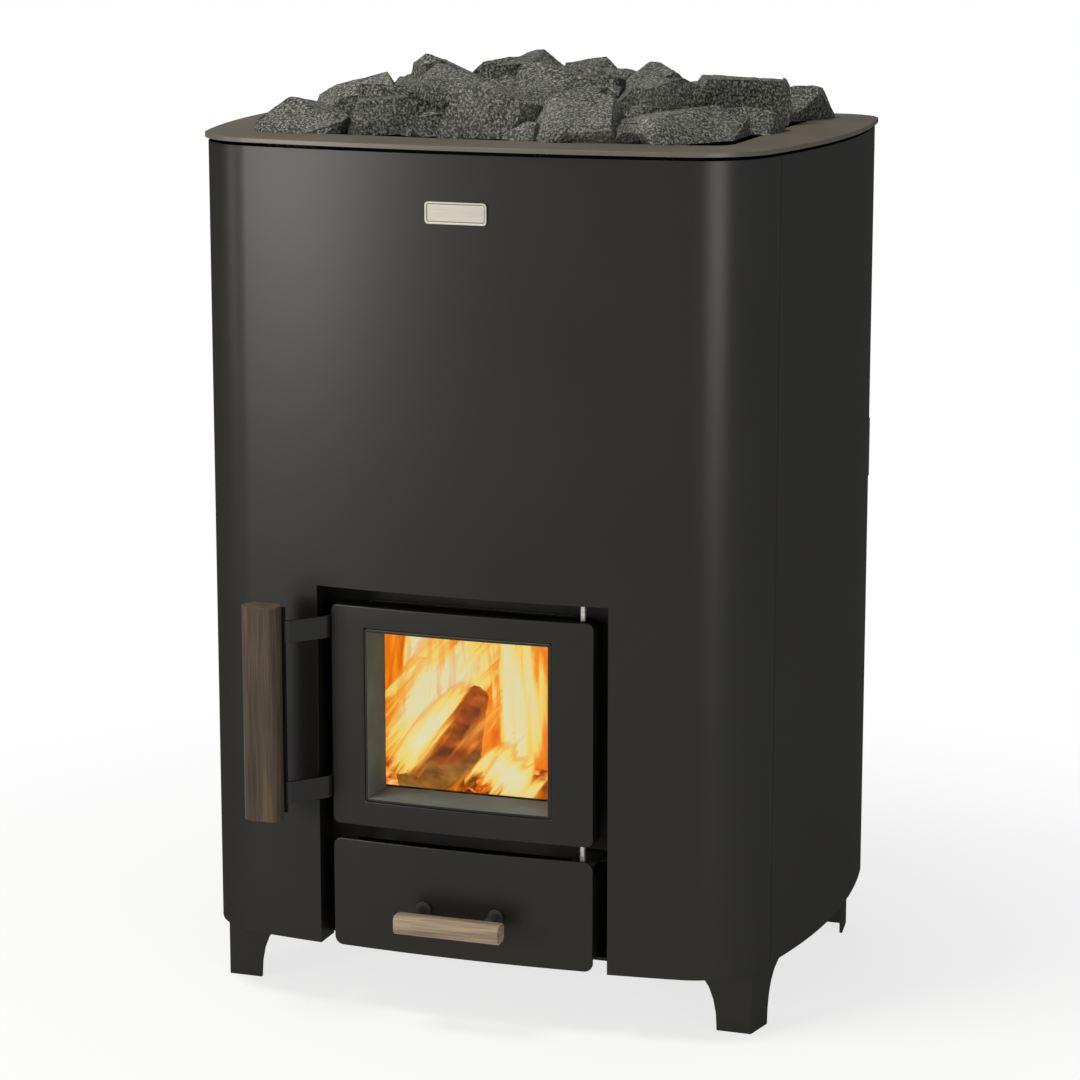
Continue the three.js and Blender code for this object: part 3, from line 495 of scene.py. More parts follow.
def heat_treated_wood(name, along, pale, mid, dark):
    """Heat-treated hardwood, planed and left bare: brown-grey with fine pores and growth lines along
    the bar."""
    finish, tree, shader, place = new_finish(name)
    stretch = [per_mm(2.2)] * 3
    stretch[along] = per_mm(60)
    grain = node(tree, "Mapping", {"Vector": place, "Scale": stretch})
    lines = node(tree, "TexNoise", {
        "Vector": grain.outputs["Vector"], "Scale": 1, "Detail": 4, "Distortion": 0.4})
    broad = [per_mm(9)] * 3
    broad[along] = per_mm(160)
    bands = node(tree, "Mapping", {"Vector": place, "Scale": broad})
    growth = node(tree, "TexNoise", {"Vector": bands.outputs["Vector"], "Scale": 1, "Detail": 2})
    both = node(tree, "Math", {0: lines.outputs["Fac"], 1: growth.outputs["Fac"]}, operation="ADD")
    half = node(tree, "Math", {0: both.outputs[0], 1: 0.5}, operation="MULTIPLY")
    tone = node(tree, "ValToRGB", {"Fac": half.outputs[0]}, [(0.34, dark), (0.5, mid), (0.66, pale)])
    bump = node(tree, "Bump", {"Height": lines.outputs["Fac"], "Strength": 0.35, "Distance": 0.0006})
    set_inputs(tree, shader, {
        "Base Color": tone.outputs["Color"], "Normal": bump.outputs["Normal"],
        "Roughness": 0.75, "Specular IOR Level": 0.25})
    return finish


def broken_olivine_stone():
    """Quarried olivine diabase, broken by machine: dark grey, salted with pale crystal grains of
    1 to 2 mm."""
    finish, tree, shader, place = new_finish("broken_olivine_stone")
    cloud = node(tree, "TexNoise", {
        "Vector": place, "Scale": per_mm(55), "Detail": 6, "Roughness": 0.62})
    ground = node(tree, "ValToRGB", {"Fac": cloud.outputs["Fac"]},
                  [(0.36, "#1a1b19"), (0.64, "#4e4f4b")])
    grains = node(tree, "TexNoise", {
        "Vector": place, "Scale": per_mm(2.3), "Detail": 4, "Roughness": 0.75})
    specks = node(tree, "ValToRGB", {"Fac": grains.outputs["Fac"]},
                  [(0.47, "#000000"), (0.82, "#ffffff")])
    tone = node(tree, "Mix", {
        "Factor": specks.outputs["Color"], "A": ground.outputs["Color"], "B": linear("#d6d6ce")},
        data_type="RGBA")
    rough = node(tree, "TexNoise", {
        "Vector": place, "Scale": per_mm(5), "Detail": 6, "Roughness": 0.75})
    bump = node(tree, "Bump", {"Height": rough.outputs["Fac"], "Strength": 1.0, "Distance": 0.003})
    set_inputs(tree, shader, {
        "Base Color": tone.outputs["Result"], "Normal": bump.outputs["Normal"],
        "Roughness": 0.9, "Specular IOR Level": 0.2})
    return finish


def burning_log(name, tones):
    """Split firewood alight: charred wood lit from within, part the glow of burning and part painted
    firelight, with painted highlights on the raised grain and painted shade in the hollows."""
    finish, tree, shader, place = new_finish(name)
    stretch = node(tree, "Mapping", {
        "Vector": place, "Scale": (per_mm(30), per_mm(12), per_mm(16))})
    bark = node(tree, "TexNoise", {
        "Vector": stretch.outputs["Vector"], "Scale": 1, "Detail": 5, "Roughness": 0.6})
    # The emission paints the firelight on the wood besides its own glow: brighter where the grain
    # stands up, dimmer in the hollows
    glow = node(tree, "ValToRGB", {"Fac": bark.outputs["Fac"]},
                list(zip((0.34, 0.48, 0.6, 0.74), tones)))
    bump = node(tree, "Bump", {"Height": bark.outputs["Fac"], "Strength": 0.8, "Distance": 0.004})
    set_inputs(tree, shader, {
        "Base Color": linear("#1c0a02"), "Normal": bump.outputs["Normal"], "Roughness": 0.9,
        "Emission Color": glow.outputs["Color"], "Emission Strength": 0.9})
    return finish


def ember_bed_glow():
    """Live charcoal: ash-grey crust broken by white-orange glow."""
    finish, tree, shader, place = new_finish("ember_bed_glow")
    lumps = node(tree, "TexNoise", {"Vector": place, "Scale": per_mm(14), "Detail": 5})
    tone = node(tree, "ValToRGB", {"Fac": lumps.outputs["Fac"]},
                [(0.4, "#2b1c14"), (0.7, "#7a5a44")])
    glow = node(tree, "ValToRGB", {"Fac": lumps.outputs["Fac"]},
                [(0.38, "#5a1503"), (0.5, "#e0661c"), (0.6, "#ffb648"), (0.7, "#fff0c0")])
    set_inputs(tree, shader, {
        "Base Color": tone.outputs["Color"], "Roughness": 0.95,
        "Emission Color": glow.outputs["Color"], "Emission Strength": 1})
    return finish


def fire_glow():
    """The lit depth of the chamber: soft orange, brighter in drifting upright streaks."""
    finish, tree, shader, place = new_finish("fire_glow")
    rise = node(tree, "Mapping", {"Vector": place, "Scale": (per_mm(26), per_mm(60), per_mm(120))})
    drift = node(tree, "TexNoise", {
        "Vector": rise.outputs["Vector"], "Scale": 1, "Detail": 4, "Distortion": 0.8})
    glow = node(tree, "ValToRGB", {"Fac": drift.outputs["Fac"]},
                [(0.34, "#b04204"), (0.46, "#e06a08"), (0.57, "#f58a1a"), (0.7, "#ffb04c")])
    set_inputs(tree, shader, {
        "Base Color": linear("#301004"), "Roughness": 1,
        "Emission Color": glow.outputs["Color"], "Emission Strength": 1})
    return finish


def flame_finish(name, middle, size, lean, drift):
    """Flame: a licking sheet, cream at its heart, yellow to orange outwards and clear at the rim."""
    finish, tree, shader, place = new_finish(name)
    turn = (0, math.radians(lean), 0)
    body = node(tree, "Mapping", {
        "Vector": place, "Location": metres(*middle), "Rotation": turn,
        "Scale": (size[0] * MM, 1, size[1] * MM)}, vector_type="TEXTURE")
    heart = node(tree, "TexGradient", {"Vector": body.outputs["Vector"]}, gradient_type="SPHERICAL")
    # Strands about 11 mm wide and 90 mm long, along the flame's lean, shifted for each flame
    strand = node(tree, "Mapping", {
        "Vector": place, "Location": metres(drift * 37, 0, drift * 11), "Rotation": turn,
        "Scale": metres(11, 40, 90)}, vector_type="TEXTURE")
    licks = node(tree, "TexNoise", {
        "Vector": strand.outputs["Vector"], "Scale": 1, "Detail": 4, "Distortion": 0.7})
    heat = node(tree, "Math", {0: heart.outputs["Fac"], 1: 0.66, 2: licks.outputs["Fac"]},
                operation="MULTIPLY_ADD")
    glow = node(tree, "ValToRGB", {"Fac": heat.outputs[0]},
                [(0.56, "#e86c08"), (0.66, "#f59a2a"), (0.78, "#eed46a"), (1.0, "#e2dcae")])
    veil = node(tree, "ValToRGB", {"Fac": heat.outputs[0]}, [(0.56, "#000000"), (0.74, "#ffffff")])
    set_inputs(tree, shader, {
        "Base Color": linear("#000000"), "Roughness": 1, "Alpha": veil.outputs["Color"],
        "Emission Color": glow.outputs["Color"], "Emission Strength": 1})
    return finish


PAINT = satin_powder_coat("satin_powder_coat", "#11100c", "#16150f")
# The rim has the casing's powder coat in a lighter, browner tone: painted light for its top face
TOP_LIT_RIM_PAINT = satin_powder_coat("rim_coat_painted_top_light", "#565047", "#635d54")
BLACK = matt_stove_black()
REVEAL = reveal_enamel()
IRON = grey_cast_iron()
PLATE = satin_aluminium()
STEEL = drawn_steel()
GLASS = ceramic_glass()
ROPE = glass_fibre_rope()
DOOR_WOOD = heat_treated_wood("heat_treated_aspen_dark", 2, "#564836", "#43382c", "#2e261e")
DRAWER_WOOD = heat_treated_wood("heat_treated_aspen_pale", 0, "#a4927b", "#877663", "#584d41")
STONE = broken_olivine_stone()
# The logs' emission is their glow and painted firelight on them
LOG = burning_log("charred_log", ("#5e2400", "#964404", "#c4600a", "#f8982c"))
BARK_LOG = burning_log("ashy_log", ("#4e2c08", "#80501a", "#9c6a24", "#d08a2e"))
EMBER = ember_bed_glow()
GLOW = fire_glow()


# Casing
def roll_casing():
    wrap = start_upright("casing_front", 0, FRONT, (PANEL_BOTTOM, CUTOUT_TOP, PANEL_TOP))
    doorway_turn = math.degrees(math.asin(CUTOUT_HALF / BOW_RADIUS))
    roll(doorway_turn, BOW_CENTRE, 10)
    roll(BOW_TURN - doorway_turn, BOW_CENTRE, 5)
    roll(SIDE_START + 90 - BOW_TURN, CORNER_CENTRE, 18)
    roll(SEAM_TURN, SIDE_CENTRE, 2)
    pick(wrap, "FACE", lambda middle, face: middle.x < CUTOUT_HALF and middle.z < CUTOUT_TOP)
    bpy.ops.mesh.delete(type="FACE")
    add_other_half(wrap)
    # The doorway's upright edges are folded back
    pick(wrap, "EDGE", lambda middle, edge: (
        abs(abs(middle.x) - CUTOUT_HALF) < 0.1 and middle.z < CUTOUT_TOP - 1))
    pull(0, DOORWAY_RETURN, 0)
    make_sheet(wrap, CASING_SHEET, SHEET_EDGE, (0, -1, 0))
    fit(wrap, "stove", "casing_paint", PAINT, "front_panel")

    start = SIDE_START + SEAM_TURN + SEAM_GAP_TURN
    right = start_upright(
        "casing_side_right",
        SIDE_CENTRE[0] + SIDE_RADIUS * math.cos(math.radians(start)),
        SIDE_CENTRE[1] + SIDE_RADIUS * math.sin(math.radians(start)), (PANEL_BOTTOM, PANEL_TOP))
    roll(SIDE_END - start, SIDE_CENTRE, 24)
    roll(90 - SIDE_END, REAR_CENTRE, 12)
    pull(-REAR_FLANGE, 0, 0)
    left = twin(right, "casing_side_left")
    make_sheet(right, CASING_SHEET, SHEET_EDGE, (1, 0, 0))
    make_sheet(left, CASING_SHEET, SHEET_EDGE, (-1, 0, 0))
    fit(right, "stove", "casing_paint", PAINT, "right_side_panel")
    fit(left, "stove", "casing_paint", PAINT, "left_side_panel")


def trace_opening(offset):
    """Half of the rim's opening, from the middle of the front round to the middle of the back."""
    corner_x = OPENING_HALF - OPENING_CORNER
    reach = BOW_RADIUS - RIM_FRONT - OPENING_CORNER
    turn = math.degrees(math.asin(corner_x / reach))
    corner_y = BOW_CENTRE[1] - reach * math.cos(math.radians(turn))
    roll(turn, BOW_CENTRE, 12)
    roll(90 - turn, (corner_x, corner_y), 8)
    pull(0, OPENING_REAR + offset - corner_y, 0)
    pull(-OPENING_HALF - offset, 0, 0)


def make_rim():
    rim = start_dot("stone_rim", 0, FRONT - RIM_OVERHANG, RIM_TOP)
    roll(BOW_TURN, BOW_CENTRE, 16)
    roll(SIDE_START + 90 - BOW_TURN, CORNER_CENTRE, 18)
    roll(SIDE_END - SIDE_START, SIDE_CENTRE, 24)
    roll(90 - SIDE_END, REAR_CENTRE, 12)
    pull(-REAR_CENTRE[0], 0, 0)
    dot(0, FRONT + RIM_FRONT - LIP_SHEET, RIM_TOP)
    trace_opening(LIP_SHEET)
    add_other_half(rim)
    pick(rim, "EDGE", lambda middle, edge: True)
    bpy.ops.mesh.fill(use_beauty=True)
    bpy.ops.object.mode_set(mode="OBJECT")

    # The lip round the opening goes down further than the rim's own sheet
    inner = start_dot("rim_lip", 0, FRONT + RIM_FRONT, RIM_TOP)
    trace_opening(0)
    add_other_half(inner)
    join(rim, inner)
    past_lip = LIP_SHEET + 0.8
    pick(rim, "EDGE", lambda middle, edge: (
        abs(middle.x) < OPENING_HALF + past_lip
        and FRONT + RIM_FRONT - past_lip < middle.y < OPENING_REAR + past_lip))
    bpy.ops.mesh.bridge_edge_loops()
    pick(rim, "FACE", lambda middle, face: True)
    pull(0, 0, -RIM_SHEET)
    pick(rim, "FACE", lambda middle, face: (
        middle.z < RIM_TOP - RIM_SHEET + 0.1 and len(face.vertices) == 4))
    pull(0, 0, -LIP_DEPTH)
    close_up(rim)
    soften(rim, SHEET_EDGE, 3)
    # The rim's lighter, browner paint is painted top light
    fit(rim, "stove", "casing_paint", TOP_LIT_RIM_PAINT, "top_frame")


def make_feet():
    for place in ("front_left", "front_right", "rear_left", "rear_right"):
        foot = blank_from("foot_" + place, "foot_sheet_" + place)
        soften(foot, 0.9, 3)
        fit(foot, "stove", "casing_paint", PAINT, "foot_" + place)


def make_nameplate():
    low, high = span("nameplate")
    corner, border, groove, groove_depth, face_rise = 3.2, 1.4, 0.6, 0.9, 0.6
    plate = block("bare_nameplate", low, high)
    pick(plate, "EDGE", lambda middle, edge: (
        abs(middle.x) > high.x - 0.1 and not low.z + 1 < middle.z < high.z - 1))
    bpy.ops.mesh.bevel(offset=corner * MM, segments=5, affect="EDGES")
    pick(plate, "FACE", lambda middle, face: face.normal.y < -0.9)
    # A plain raised border, set off by a groove
    bpy.ops.mesh.inset(thickness=border * MM, depth=0)
    bpy.ops.mesh.inset(thickness=groove * MM, depth=-groove_depth * MM)
    bpy.ops.mesh.inset(thickness=groove * MM, depth=face_rise * MM)
    close_up(plate)
    soften(plate, 0.12)
    fit(plate, "stove", "plate_aluminium", PLATE, "nameplate")


# Stones, in rows from side to side, sunk a little between the basket's sides
STONES = 20
STONES_IN_ROW = 5
STONE_SINK = 5
STONE_CUTS = 9
STONE_ARRIS = 0.9
STONE_LEVEL = 0.6
RELIEF_HEIGHT = 3
CHIPPED_HEIGHT = 1.4
SWELL = 1.4
FULL_TURN = 6.28
GOLDEN_TURN = 2.4
SCATTER = 0.24
TOP_TILT = 0.15
# Radii of the stones between the big ones; a wedge's middle lies WEDGE_DROP radii under their tops
WEDGE_SIZE = (26, 34)
WEDGE_DROP = (0.95, 1.2)
CHIP_SIZE = (17, 22)
STONE_RELIEF = lumpy("stone_relief", 24, 3)
STONE_CHIPS = lumpy("stone_chips", 5)


def split(place, way):
    """Breaks off what lies beyond a plane and closes the break."""
    bpy.ops.mesh.select_all(action="SELECT")
    bpy.ops.mesh.bisect(plane_co=place, plane_no=way, clear_outer=True, use_fill=True)


def break_rock(rock, least, most, levels):
    """Splits big flat faces off a swollen blank along well-spread planes and roughens what is left."""
    points = [v.co.copy() for v in rock.data.vertices]
    middle = sum(points, Vector()) / len(points)
    open_whole(rock)
    bpy.ops.transform.resize(value=(SWELL, SWELL, SWELL), center_override=middle)
    start = CHANCE.uniform(0, FULL_TURN)
    for cut in range(STONE_CUTS):
        level = 1 - 2 * (cut + 0.5) / STONE_CUTS
        turn = start + GOLDEN_TURN * cut
        ring = math.sqrt(1 - level ** 2)
        way = Vector((ring * math.cos(turn), ring * math.sin(turn), level))
        way = (way + Vector([CHANCE.gauss(0, SCATTER) for axis in range(3)])).normalized()
        reach = max(way.dot(point - middle) for point in points)
        split(middle + way * reach * CHANCE.uniform(least, most), way)
    # No corner stands higher than the blank did
    top = max(point.z for point in points)
    split((middle.x, middle.y, top), (CHANCE.gauss(0, TOP_TILT), CHANCE.gauss(0, TOP_TILT), 1))
    bpy.ops.mesh.select_all(action="SELECT")
    bpy.ops.transform.translate(value=metres(0, 0, -STONE_SINK))
    close_up(rock)
    work(rock, "BEVEL", width=STONE_ARRIS * MM, segments=1, limit_method="ANGLE",
         angle_limit=math.radians(14))
    divide(rock, levels)
    roughen(rock, STONE_RELIEF, RELIEF_HEIGHT, STONE_LEVEL)
    roughen(rock, STONE_CHIPS, CHIPPED_HEIGHT, STONE_LEVEL)
    bpy.ops.object.shade_smooth_by_angle(angle=math.radians(28))


def wedge_stone(name, size, place):
    """A smaller stone, broken from a round blank and dropped between the big ones."""
    drop_selection()
    bpy.ops.mesh.primitive_ico_sphere_add(
        subdivisions=2, radius=size * MM, location=metres(*place))
    wedge = settle(name)
    break_rock(wedge, 0.7, 0.95, 3)
    fit(wedge, "stove", "sauna_stone", STONE)


def heap_stones():
    boxes = []
    for number in range(1, STONES + 1):
        name = f"stone_{number:02d}"
        boxes.append(span(name))
        stone = blank_from(name, f"broken_stone_{number:02d}")
        break_rock(stone, 0.76, 0.92, 4)
        fit(stone, "stove", "sauna_stone", STONE, name)
    # Smaller ones fill the hollows between four big stones
    last = STONES_IN_ROW - 1
    for number in [n for n in range(STONES - STONES_IN_ROW) if n % STONES_IN_ROW < last]:
        beside = (number, number + 1, number + STONES_IN_ROW, number + STONES_IN_ROW + 1)
        around = [boxes[n] for n in beside]
        size = CHANCE.uniform(*WEDGE_SIZE)
        place = sum((low + high for low, high in around), Vector()) / 8
        crest = sum(high.z for low, high in around) / 4
        wedge_stone(f"wedged_stone_{number + 1:02d}", size,
                    (place.x, place.y, crest - size * CHANCE.uniform(*WEDGE_DROP)))
    # Chips lie in the gaps along the front of the heap
    front = sorted(boxes, key=lambda pair: pair[0].y)[:STONES_IN_ROW]
    front.sort(key=lambda pair: pair[0].x)
    for number, (left, right) in enumerate(zip(front, front[1:]), 1):
        size = CHANCE.uniform(*CHIP_SIZE)
        wedge_stone(f"stone_chip_{number}", size, (
            (left[1].x + right[0].x) / 2, max(left[0].y, right[0].y) + size * 0.9,
            RIM_TOP + size * 0.2))


# Door
def leaf_turn(x):
    """Degrees round the bow from the middle of the door or drawer front out to x."""
    return math.degrees(math.asin(x / LEAF_RADIUS))


def leaf_y(x):
    """Where the bowed face of the door or drawer front lies at x."""
    return BOW_CENTRE[1] - math.sqrt(LEAF_RADIUS ** 2 - x ** 2)


def make_door():
    left, right, bottom, top = WINDOW
    pan = start_upright(
        "door_pan", -DOOR_HALF, leaf_y(DOOR_HALF), (DOOR_BOTTOM, bottom, top, DOOR_TOP))
    for start, end, steps in ((-DOOR_HALF, left, 3), (left, right, 14), (right, DOOR_HALF, 3)):
        roll(leaf_turn(end) - leaf_turn(start), BOW_CENTRE, steps)
    pick(pan, "FACE", lambda middle, face: left < middle.x < right and bottom < middle.z < top)
    bpy.ops.mesh.delete(type="FACE")
    pick(pan, "VERT", lambda middle, point: (
        abs(middle.x) > DOOR_HALF - 1 and not DOOR_BOTTOM + 1 < middle.z < DOOR_TOP - 1))
    bpy.ops.mesh.bevel(offset=DOOR_CORNER * MM, segments=5, affect="VERTICES")
    # The outer edge is folded back, and the window's is left as cut
    bpy.ops.mesh.select_mode(type="EDGE")
    bpy.ops.mesh.select_all(action="DESELECT")
    bpy.ops.mesh.select_non_manifold(
        extend=False, use_wire=False, use_boundary=True, use_multi_face=False,
        use_non_contiguous=False, use_verts=False)
    pick(pan, "EDGE", lambda middle, edge: not (
        left - 3 < middle.x < right + 3 and bottom - 3 < middle.z < top + 3), within=True)
    pull(0, DOOR_DEPTH, 0)
    make_sheet(pan, LEAF_SHEET, DOOR_EDGE, (0, -1, 0))
    fit(pan, "door", "casing_paint", PAINT, "door_panel")

    # The reveal's front edge has the door's paint
    tube = blank_from("door_window_frame", "window_reveal")
    soften(tube, 0.6)
    fit(tube, "door", "black_steel", REVEAL, "door_window_frame")
    tube.data.materials.append(PAINT)
    tube.active_material_index = 1
    pick(tube, "FACE", lambda middle, face: face.normal.y < -0.5)
    bpy.ops.object.material_slot_assign()
    drop_selection()

    rope = blank_from("door_gasket", "door_rope")
    soften(rope, 2.6, 4, 60)
    fit(rope, "door", "rope_seal", ROPE, "door_gasket")


def make_handle():
    sheet, bend, arm_height, arm_spacing = 3, 4, 20, 146
    first_arm, behind_door, short_of_grip, grip_round = 23, 16, 4, 10
    clear = sheet / 2 + 0.3
    low, high = span("handle_grip")
    arm_y = high.y + clear
    spine_left = span("handle_bracket")[0].x
    bend_x = high.x - 0.8
    bracket = start_dot("handle_arms", spine_left, arm_y, DOOR_BOTTOM + first_arm)
    pull(bend_x - spine_left, 0, 0)
    pull(-DOOR_HALF - clear - bend_x, leaf_y(DOOR_HALF) - arm_y, 0)
    pull(0, behind_door, 0)
    pick(bracket, "VERT", lambda middle, point: (
        middle.x > bend_x - 1 and middle.y < leaf_y(DOOR_HALF) + 1))
    bpy.ops.mesh.bevel(offset=bend * MM, segments=4, affect="VERTICES")
    bpy.ops.mesh.select_all(action="SELECT")
    pull(0, 0, arm_height)
    close_up(bracket)
    work(bracket, "SOLIDIFY", thickness=sheet * MM, offset=0, use_even_offset=True)
    work(bracket, "ARRAY", count=2, use_relative_offset=False, use_constant_offset=True,
         constant_offset_displace=metres(0, 0, arm_spacing))
    spine = block(
        "handle_spine", (spine_left, arm_y - sheet / 2, low.z + short_of_grip),
        (bend_x, arm_y + sheet / 2, high.z - short_of_grip))
    join(bracket, spine)
    soften(bracket, 0.5)
    fit(bracket, "door", "casing_paint", PAINT, "handle_bracket")

    grip = block("door_grip", low, high)
    pick(grip, "EDGE", lambda middle, edge: low.z + 1 < middle.z < high.z - 1)
    bpy.ops.mesh.bevel(offset=grip_round * MM, segments=10, affect="EDGES")
    close_up(grip)
    soften(grip, 1.4, 3)
    fit(grip, "door", "door_grip_wood", DOOR_WOOD, "handle_grip")


def make_hinge_pin():
    radius, head_height, head_spread = 2.5, 3, 1.8
    low, high = span("hinge_pin")
    neck = high.z - head_height
    pin = rod("drawn_hinge_pin", 32, radius, neck - low.z, (*HINGE, (neck + low.z) / 2))
    pick(pin, "FACE", lambda middle, face: face.normal.z > 0.9)
    pull(0, 0, 0)
    bpy.ops.transform.resize(
        value=(head_spread, head_spread, 1), center_override=metres(*HINGE, neck))
    pull(0, 0, head_height)
    close_up(pin)
    soften(pin, 0.6, 3)
    fit(pin, "stove", "pin_steel", STEEL, "hinge_pin")


# Ash drawer
def make_drawer():
    leaf = start_upright("drawer_leaf", -DOOR_HALF, leaf_y(DOOR_HALF), (DRAWER_BOTTOM, DRAWER_TOP))
    roll(2 * leaf_turn(DOOR_HALF), BOW_CENTRE, 20)
    pick(leaf, "VERT", lambda middle, point: abs(middle.x) > DOOR_HALF - 1)
    bpy.ops.mesh.bevel(offset=DRAWER_CORNER * MM, segments=6, affect="VERTICES")
    make_sheet(leaf, LEAF_SHEET, DRAWER_EDGE, (0, -1, 0))
    fit(leaf, "ash_drawer", "casing_paint", PAINT, "drawer_front")

    boss_x, boss_radius, flange, flange_width = -34, 7, 3, 2.5
    low, high = span("drawer_standoff_left")
    boss = rod("drawer_boss_left", 40, boss_radius, flange,
               (boss_x, high.y - flange / 2, (low.z + high.z) / 2), lying=True)
    pick(boss, "FACE", lambda middle, face: face.normal.y < -0.9)
    bpy.ops.mesh.inset(thickness=flange_width * MM, depth=0)
    pull(0, low.y - high.y + flange, 0)
    close_up(boss)
    soften(boss, 0.7, 3)
    other = twin(boss, "drawer_boss_right")
    fit(boss, "ash_drawer", "black_steel", BLACK, "drawer_standoff_left")
    fit(other, "ash_drawer", "black_steel", BLACK, "drawer_standoff_right")

    bar = block("drawer_bar", *span("drawer_grip"))
    pick(bar, "EDGE", lambda middle, edge: abs(middle.x) < 1)
    bpy.ops.mesh.bevel(offset=3 * MM, segments=1, affect="EDGES")
    close_up(bar)
    soften(bar, 0.6)
    fit(bar, "ash_drawer", "drawer_grip_wood", DRAWER_WOOD, "drawer_grip")


# Smoke outlet and what burns
def make_flue():
    radius, sheet = 57.5, 3
    low, high = span("flue_collar")
    collar = rod("flue_ring", 72, radius, high.y - low.y,
                 (0, (low.y + high.y) / 2, (low.z + high.z) / 2), lying=True, ends="NOTHING")
    make_sheet(collar, sheet, SHEET_EDGE, (1, 0, 0))
    fit(collar, "stove", "black_steel", BLACK, "flue_collar")


def lay_log(name, length, radius, tip, sides, place, turns, finish):
    """One split log: a tapered blank with a few flat sides, roughened along the grain."""
    drop_selection()
    bpy.ops.mesh.primitive_cone_add(
        vertices=sides, radius1=radius * MM, radius2=radius * tip * MM, depth=length * MM,
        location=metres(*place), rotation=[math.radians(value) for value in turns])
    log = settle(name)
    close_up(log)
    arris, bark_lump, bark_height = 3, 20, 9
    work(log, "BEVEL", width=arris * MM, segments=2, limit_method="ANGLE",
         angle_limit=math.radians(SHARP_ANGLE))
    divide(log, 3)
    roughen(log, lumpy(name + "_bark", bark_lump, 3), bark_height, 0.6)
    bpy.ops.object.shade_smooth_by_angle(angle=math.radians(SHARP_ANGLE))
    fit(log, "stove", None, finish)


def raise_veil(name, x0, x1, y, z0, z1, finish, sway):
    """An upright sheet of flame or glow, waved front to back."""
    drop_selection()
    bpy.ops.mesh.primitive_grid_add(
        x_subdivisions=28, y_subdivisions=28, size=1, rotation=(math.pi / 2, 0, 0),
        location=metres((x0 + x1) / 2, y, (z0 + z1) / 2))
    bpy.context.object.scale = ((x1 - x0) * MM, (z1 - z0) * MM, 1)
    veil = settle(name)
    roughen(veil, lumpy(name + "_drift", 70), sway, 0.5, direction="Y")
    bpy.ops.object.shade_smooth()
    fit(veil, "stove", None, finish)


def spread_embers():
    width, depth, crust, lump, height = 250, 150, 2, 16, 18
    drop_selection()
    bpy.ops.mesh.primitive_grid_add(
        x_subdivisions=60, y_subdivisions=40, size=1, location=metres(-20, -50, 180))
    bpy.context.object.scale = (width * MM, depth * MM, 1)
    bed = settle("ember_bed")
    work(bed, "SOLIDIFY", thickness=crust * MM, offset=-1)
    roughen(bed, lumpy("ember_lumps", lump), height, 0.2, direction="Z")
    bpy.ops.object.shade_smooth()
    fit(bed, "stove", None, EMBER)


def light_fire():
    # Length, radius, share of it at the tip, sides, middle and turns about x, y and z
    lay_log("log_leaning", 104, 36, 0.3, 7, (-38, -104, 235), (14, 22, 20), LOG)
    lay_log("log_front", 78, 25, 0.62, 7, (-52, -116, 203), (0, 72, 24), BARK_LOG)
    lay_log("log_right", 90, 15, 0.8, 6, (44, -122, 199), (0, 96, -12), LOG)
    spread_embers()
    raise_veil("glow_curtain", -158, 158, -20, 184, 430, GLOW, 16)
    # Middle, half width and half height, lean in degrees and the shift of its strands
    left, right, bottom, top = -150, 120, 186, 420
    for name, middle, size, lean, drift in (
            ("flame_left", (-63, -82, 277), (46, 112), 41, 10),
            ("flame_upper", (-85, -64, 301), (36, 64), 5, 11),
            ("flame_top", (-15, -48, 325), (52, 42), 20, 9),
            ("flame_right", (17, -98, 274), (30, 118), -2, 11),
            ("flame_low", (19, -136, 214), (40, 30), 42, 9),
            ("flame_edge", (-57, -141, 243), (17, 74), 39, 10)):
        reach = max(size)
        raise_veil(
            name, max(middle[0] - reach, left), min(middle[0] + reach, right), middle[1],
            max(middle[2] - reach, bottom), min(middle[2] + reach, top),
            flame_finish(name, middle, size, lean, drift), 6)


def dress_cad_nodes():
    finishes = {
        "rear_panel": PAINT, "base_plate": BLACK, "stone_basket": BLACK, "firebox_shell": BLACK,
        "firebox_front": BLACK, "smoke_baffle": BLACK, "rear_spacer_left": BLACK,
        "rear_spacer_right": BLACK, "fire_grate": IRON, "door_glass": GLASS,
        "glass_clip_top": BLACK, "glass_clip_bottom": BLACK, "ash_tray": BLACK,
    }
    for name, finish in finishes.items():
        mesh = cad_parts[name].data
        mesh.materials.clear()
        mesh.materials.append(finish)


# Stage: white floor and backdrop, soft lights, camera fitted to the photograph's edges
CAMERA_PLACE = (1.0517, -2.9869, 1.0658)
CAMERA_DOWN = 11.88
CAMERA_TURN = 19.35
CAMERA_LENS = 117.25
ROOM_LIGHT = 0.22
FLOOR_RADIUS = 2.4


def shows_studio(tree):
    """1 for a ray that shows the background to the camera, straight, through glass or mirrored."""
    ray = node(tree, "LightPath")
    direct = node(tree, "Math", {
        0: ray.outputs["Is Camera Ray"], 1: ray.outputs["Is Transmission Ray"]},
        operation="MAXIMUM")
    either = node(tree, "Math", {0: direct.outputs[0], 1: ray.outputs["Is Glossy Ray"]},
                  operation="MAXIMUM")
    return either.outputs[0]


def studio_white():
    """Seamless paper floor: white to the camera, with the stove's shadow left on it close by."""
    finish, tree, shader, place = new_finish("studio_white")
    set_inputs(tree, shader, {"Base Color": linear("#f4f4f4"), "Roughness": 0.9})
    white = node(tree, "Emission", {"Color": linear("#ffffff"), "Strength": 1.0})
    distance = node(tree, "VectorMath", {0: place}, operation="LENGTH")
    share = node(tree, "MapRange", {
        "Value": distance.outputs["Value"], "From Min": 0.3, "From Max": 1.0,
        "To Min": 0.75, "To Max": 1.0})
    shown = node(tree, "Math", {0: shows_studio(tree), 1: share.outputs["Result"]},
                 operation="MULTIPLY")
    mix = node(tree, "MixShader", {0: shown.outputs[0], 1: shader.outputs[0], 2: white.outputs[0]})
    set_inputs(tree, tree.nodes["Material Output"], {"Surface": mix.outputs[0]})
    return finish


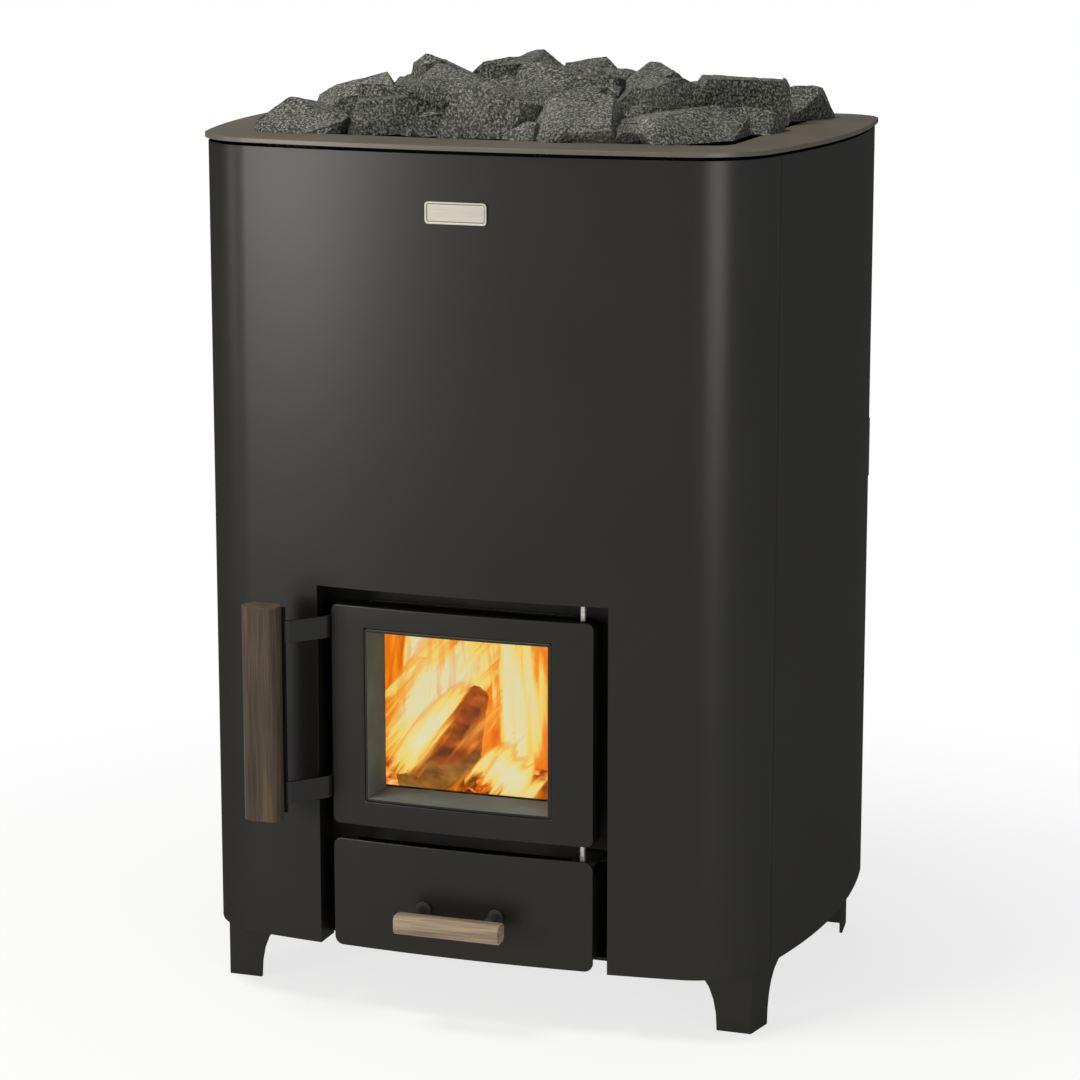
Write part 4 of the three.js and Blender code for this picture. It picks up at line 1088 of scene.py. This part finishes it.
def set_stage():
    drop_selection()
    bpy.ops.mesh.primitive_circle_add(vertices=96, radius=FLOOR_RADIUS, fill_type="NGON")
    floor = settle("studio_floor")
    floor.data.materials.append(studio_white())

    world = bpy.data.worlds.new("studio_world")
    bpy.context.scene.world = world
    world.use_nodes = True
    tree = world.node_tree
    tree.nodes.clear()
    dim = node(tree, "Background", {"Color": linear("#ffffff"), "Strength": ROOM_LIGHT})
    white = node(tree, "Background", {"Color": linear("#ffffff"), "Strength": 1.0})
    mix = node(tree, "MixShader", {0: shows_studio(tree), 1: dim.outputs[0], 2: white.outputs[0]})
    node(tree, "OutputWorld", {"Surface": mix.outputs[0]})

    # Watts, width and height, place and aim in metres
    for name, power, size, place, aim in (
            ("left_softbox", 25, (0.6, 0.7), (-1.59, -2.18, 0.66), (-0.15, -0.2, 0.6)),
            ("left_edge_strip", 6, (0.4, 0.7), (-2.26, -1.08, 0.64), (-0.27, -0.1, 0.55)),
            ("right_softbox", 14, (0.9, 0.7), (1.7, -1.8, 0.62), (0.25, -0.15, 0.45)),
            ("top_softbox", 39, (0.8, 0.8), (-0.55, -0.85, 2.5), (0, 0, 0.7))):
        drop_selection()
        bpy.ops.object.light_add(type="AREA", location=place)
        lamp = bpy.context.object
        lamp.name = name
        lamp.data.shape = "RECTANGLE"
        lamp.data.size, lamp.data.size_y = size
        lamp.data.energy = power
        lamp.data.color = linear("#fffdf6")[:3]
        lamp.rotation_euler = (Vector(aim) - Vector(place)).to_track_quat("-Z", "Y").to_euler()

    drop_selection()
    bpy.ops.object.camera_add(
        location=CAMERA_PLACE,
        rotation=(math.radians(90 - CAMERA_DOWN), 0, math.radians(CAMERA_TURN)))
    camera = bpy.context.object
    camera.name = "photo_camera"
    camera.data.sensor_width = 36
    camera.data.lens = CAMERA_LENS
    bpy.context.scene.camera = camera
    bpy.context.scene.view_settings.view_transform = "Standard"


set_stage()
roll_casing()
make_rim()
make_feet()
make_nameplate()
heap_stones()
make_door()
make_handle()
make_hinge_pin()
make_drawer()
make_flue()
light_fire()
dress_cad_nodes()
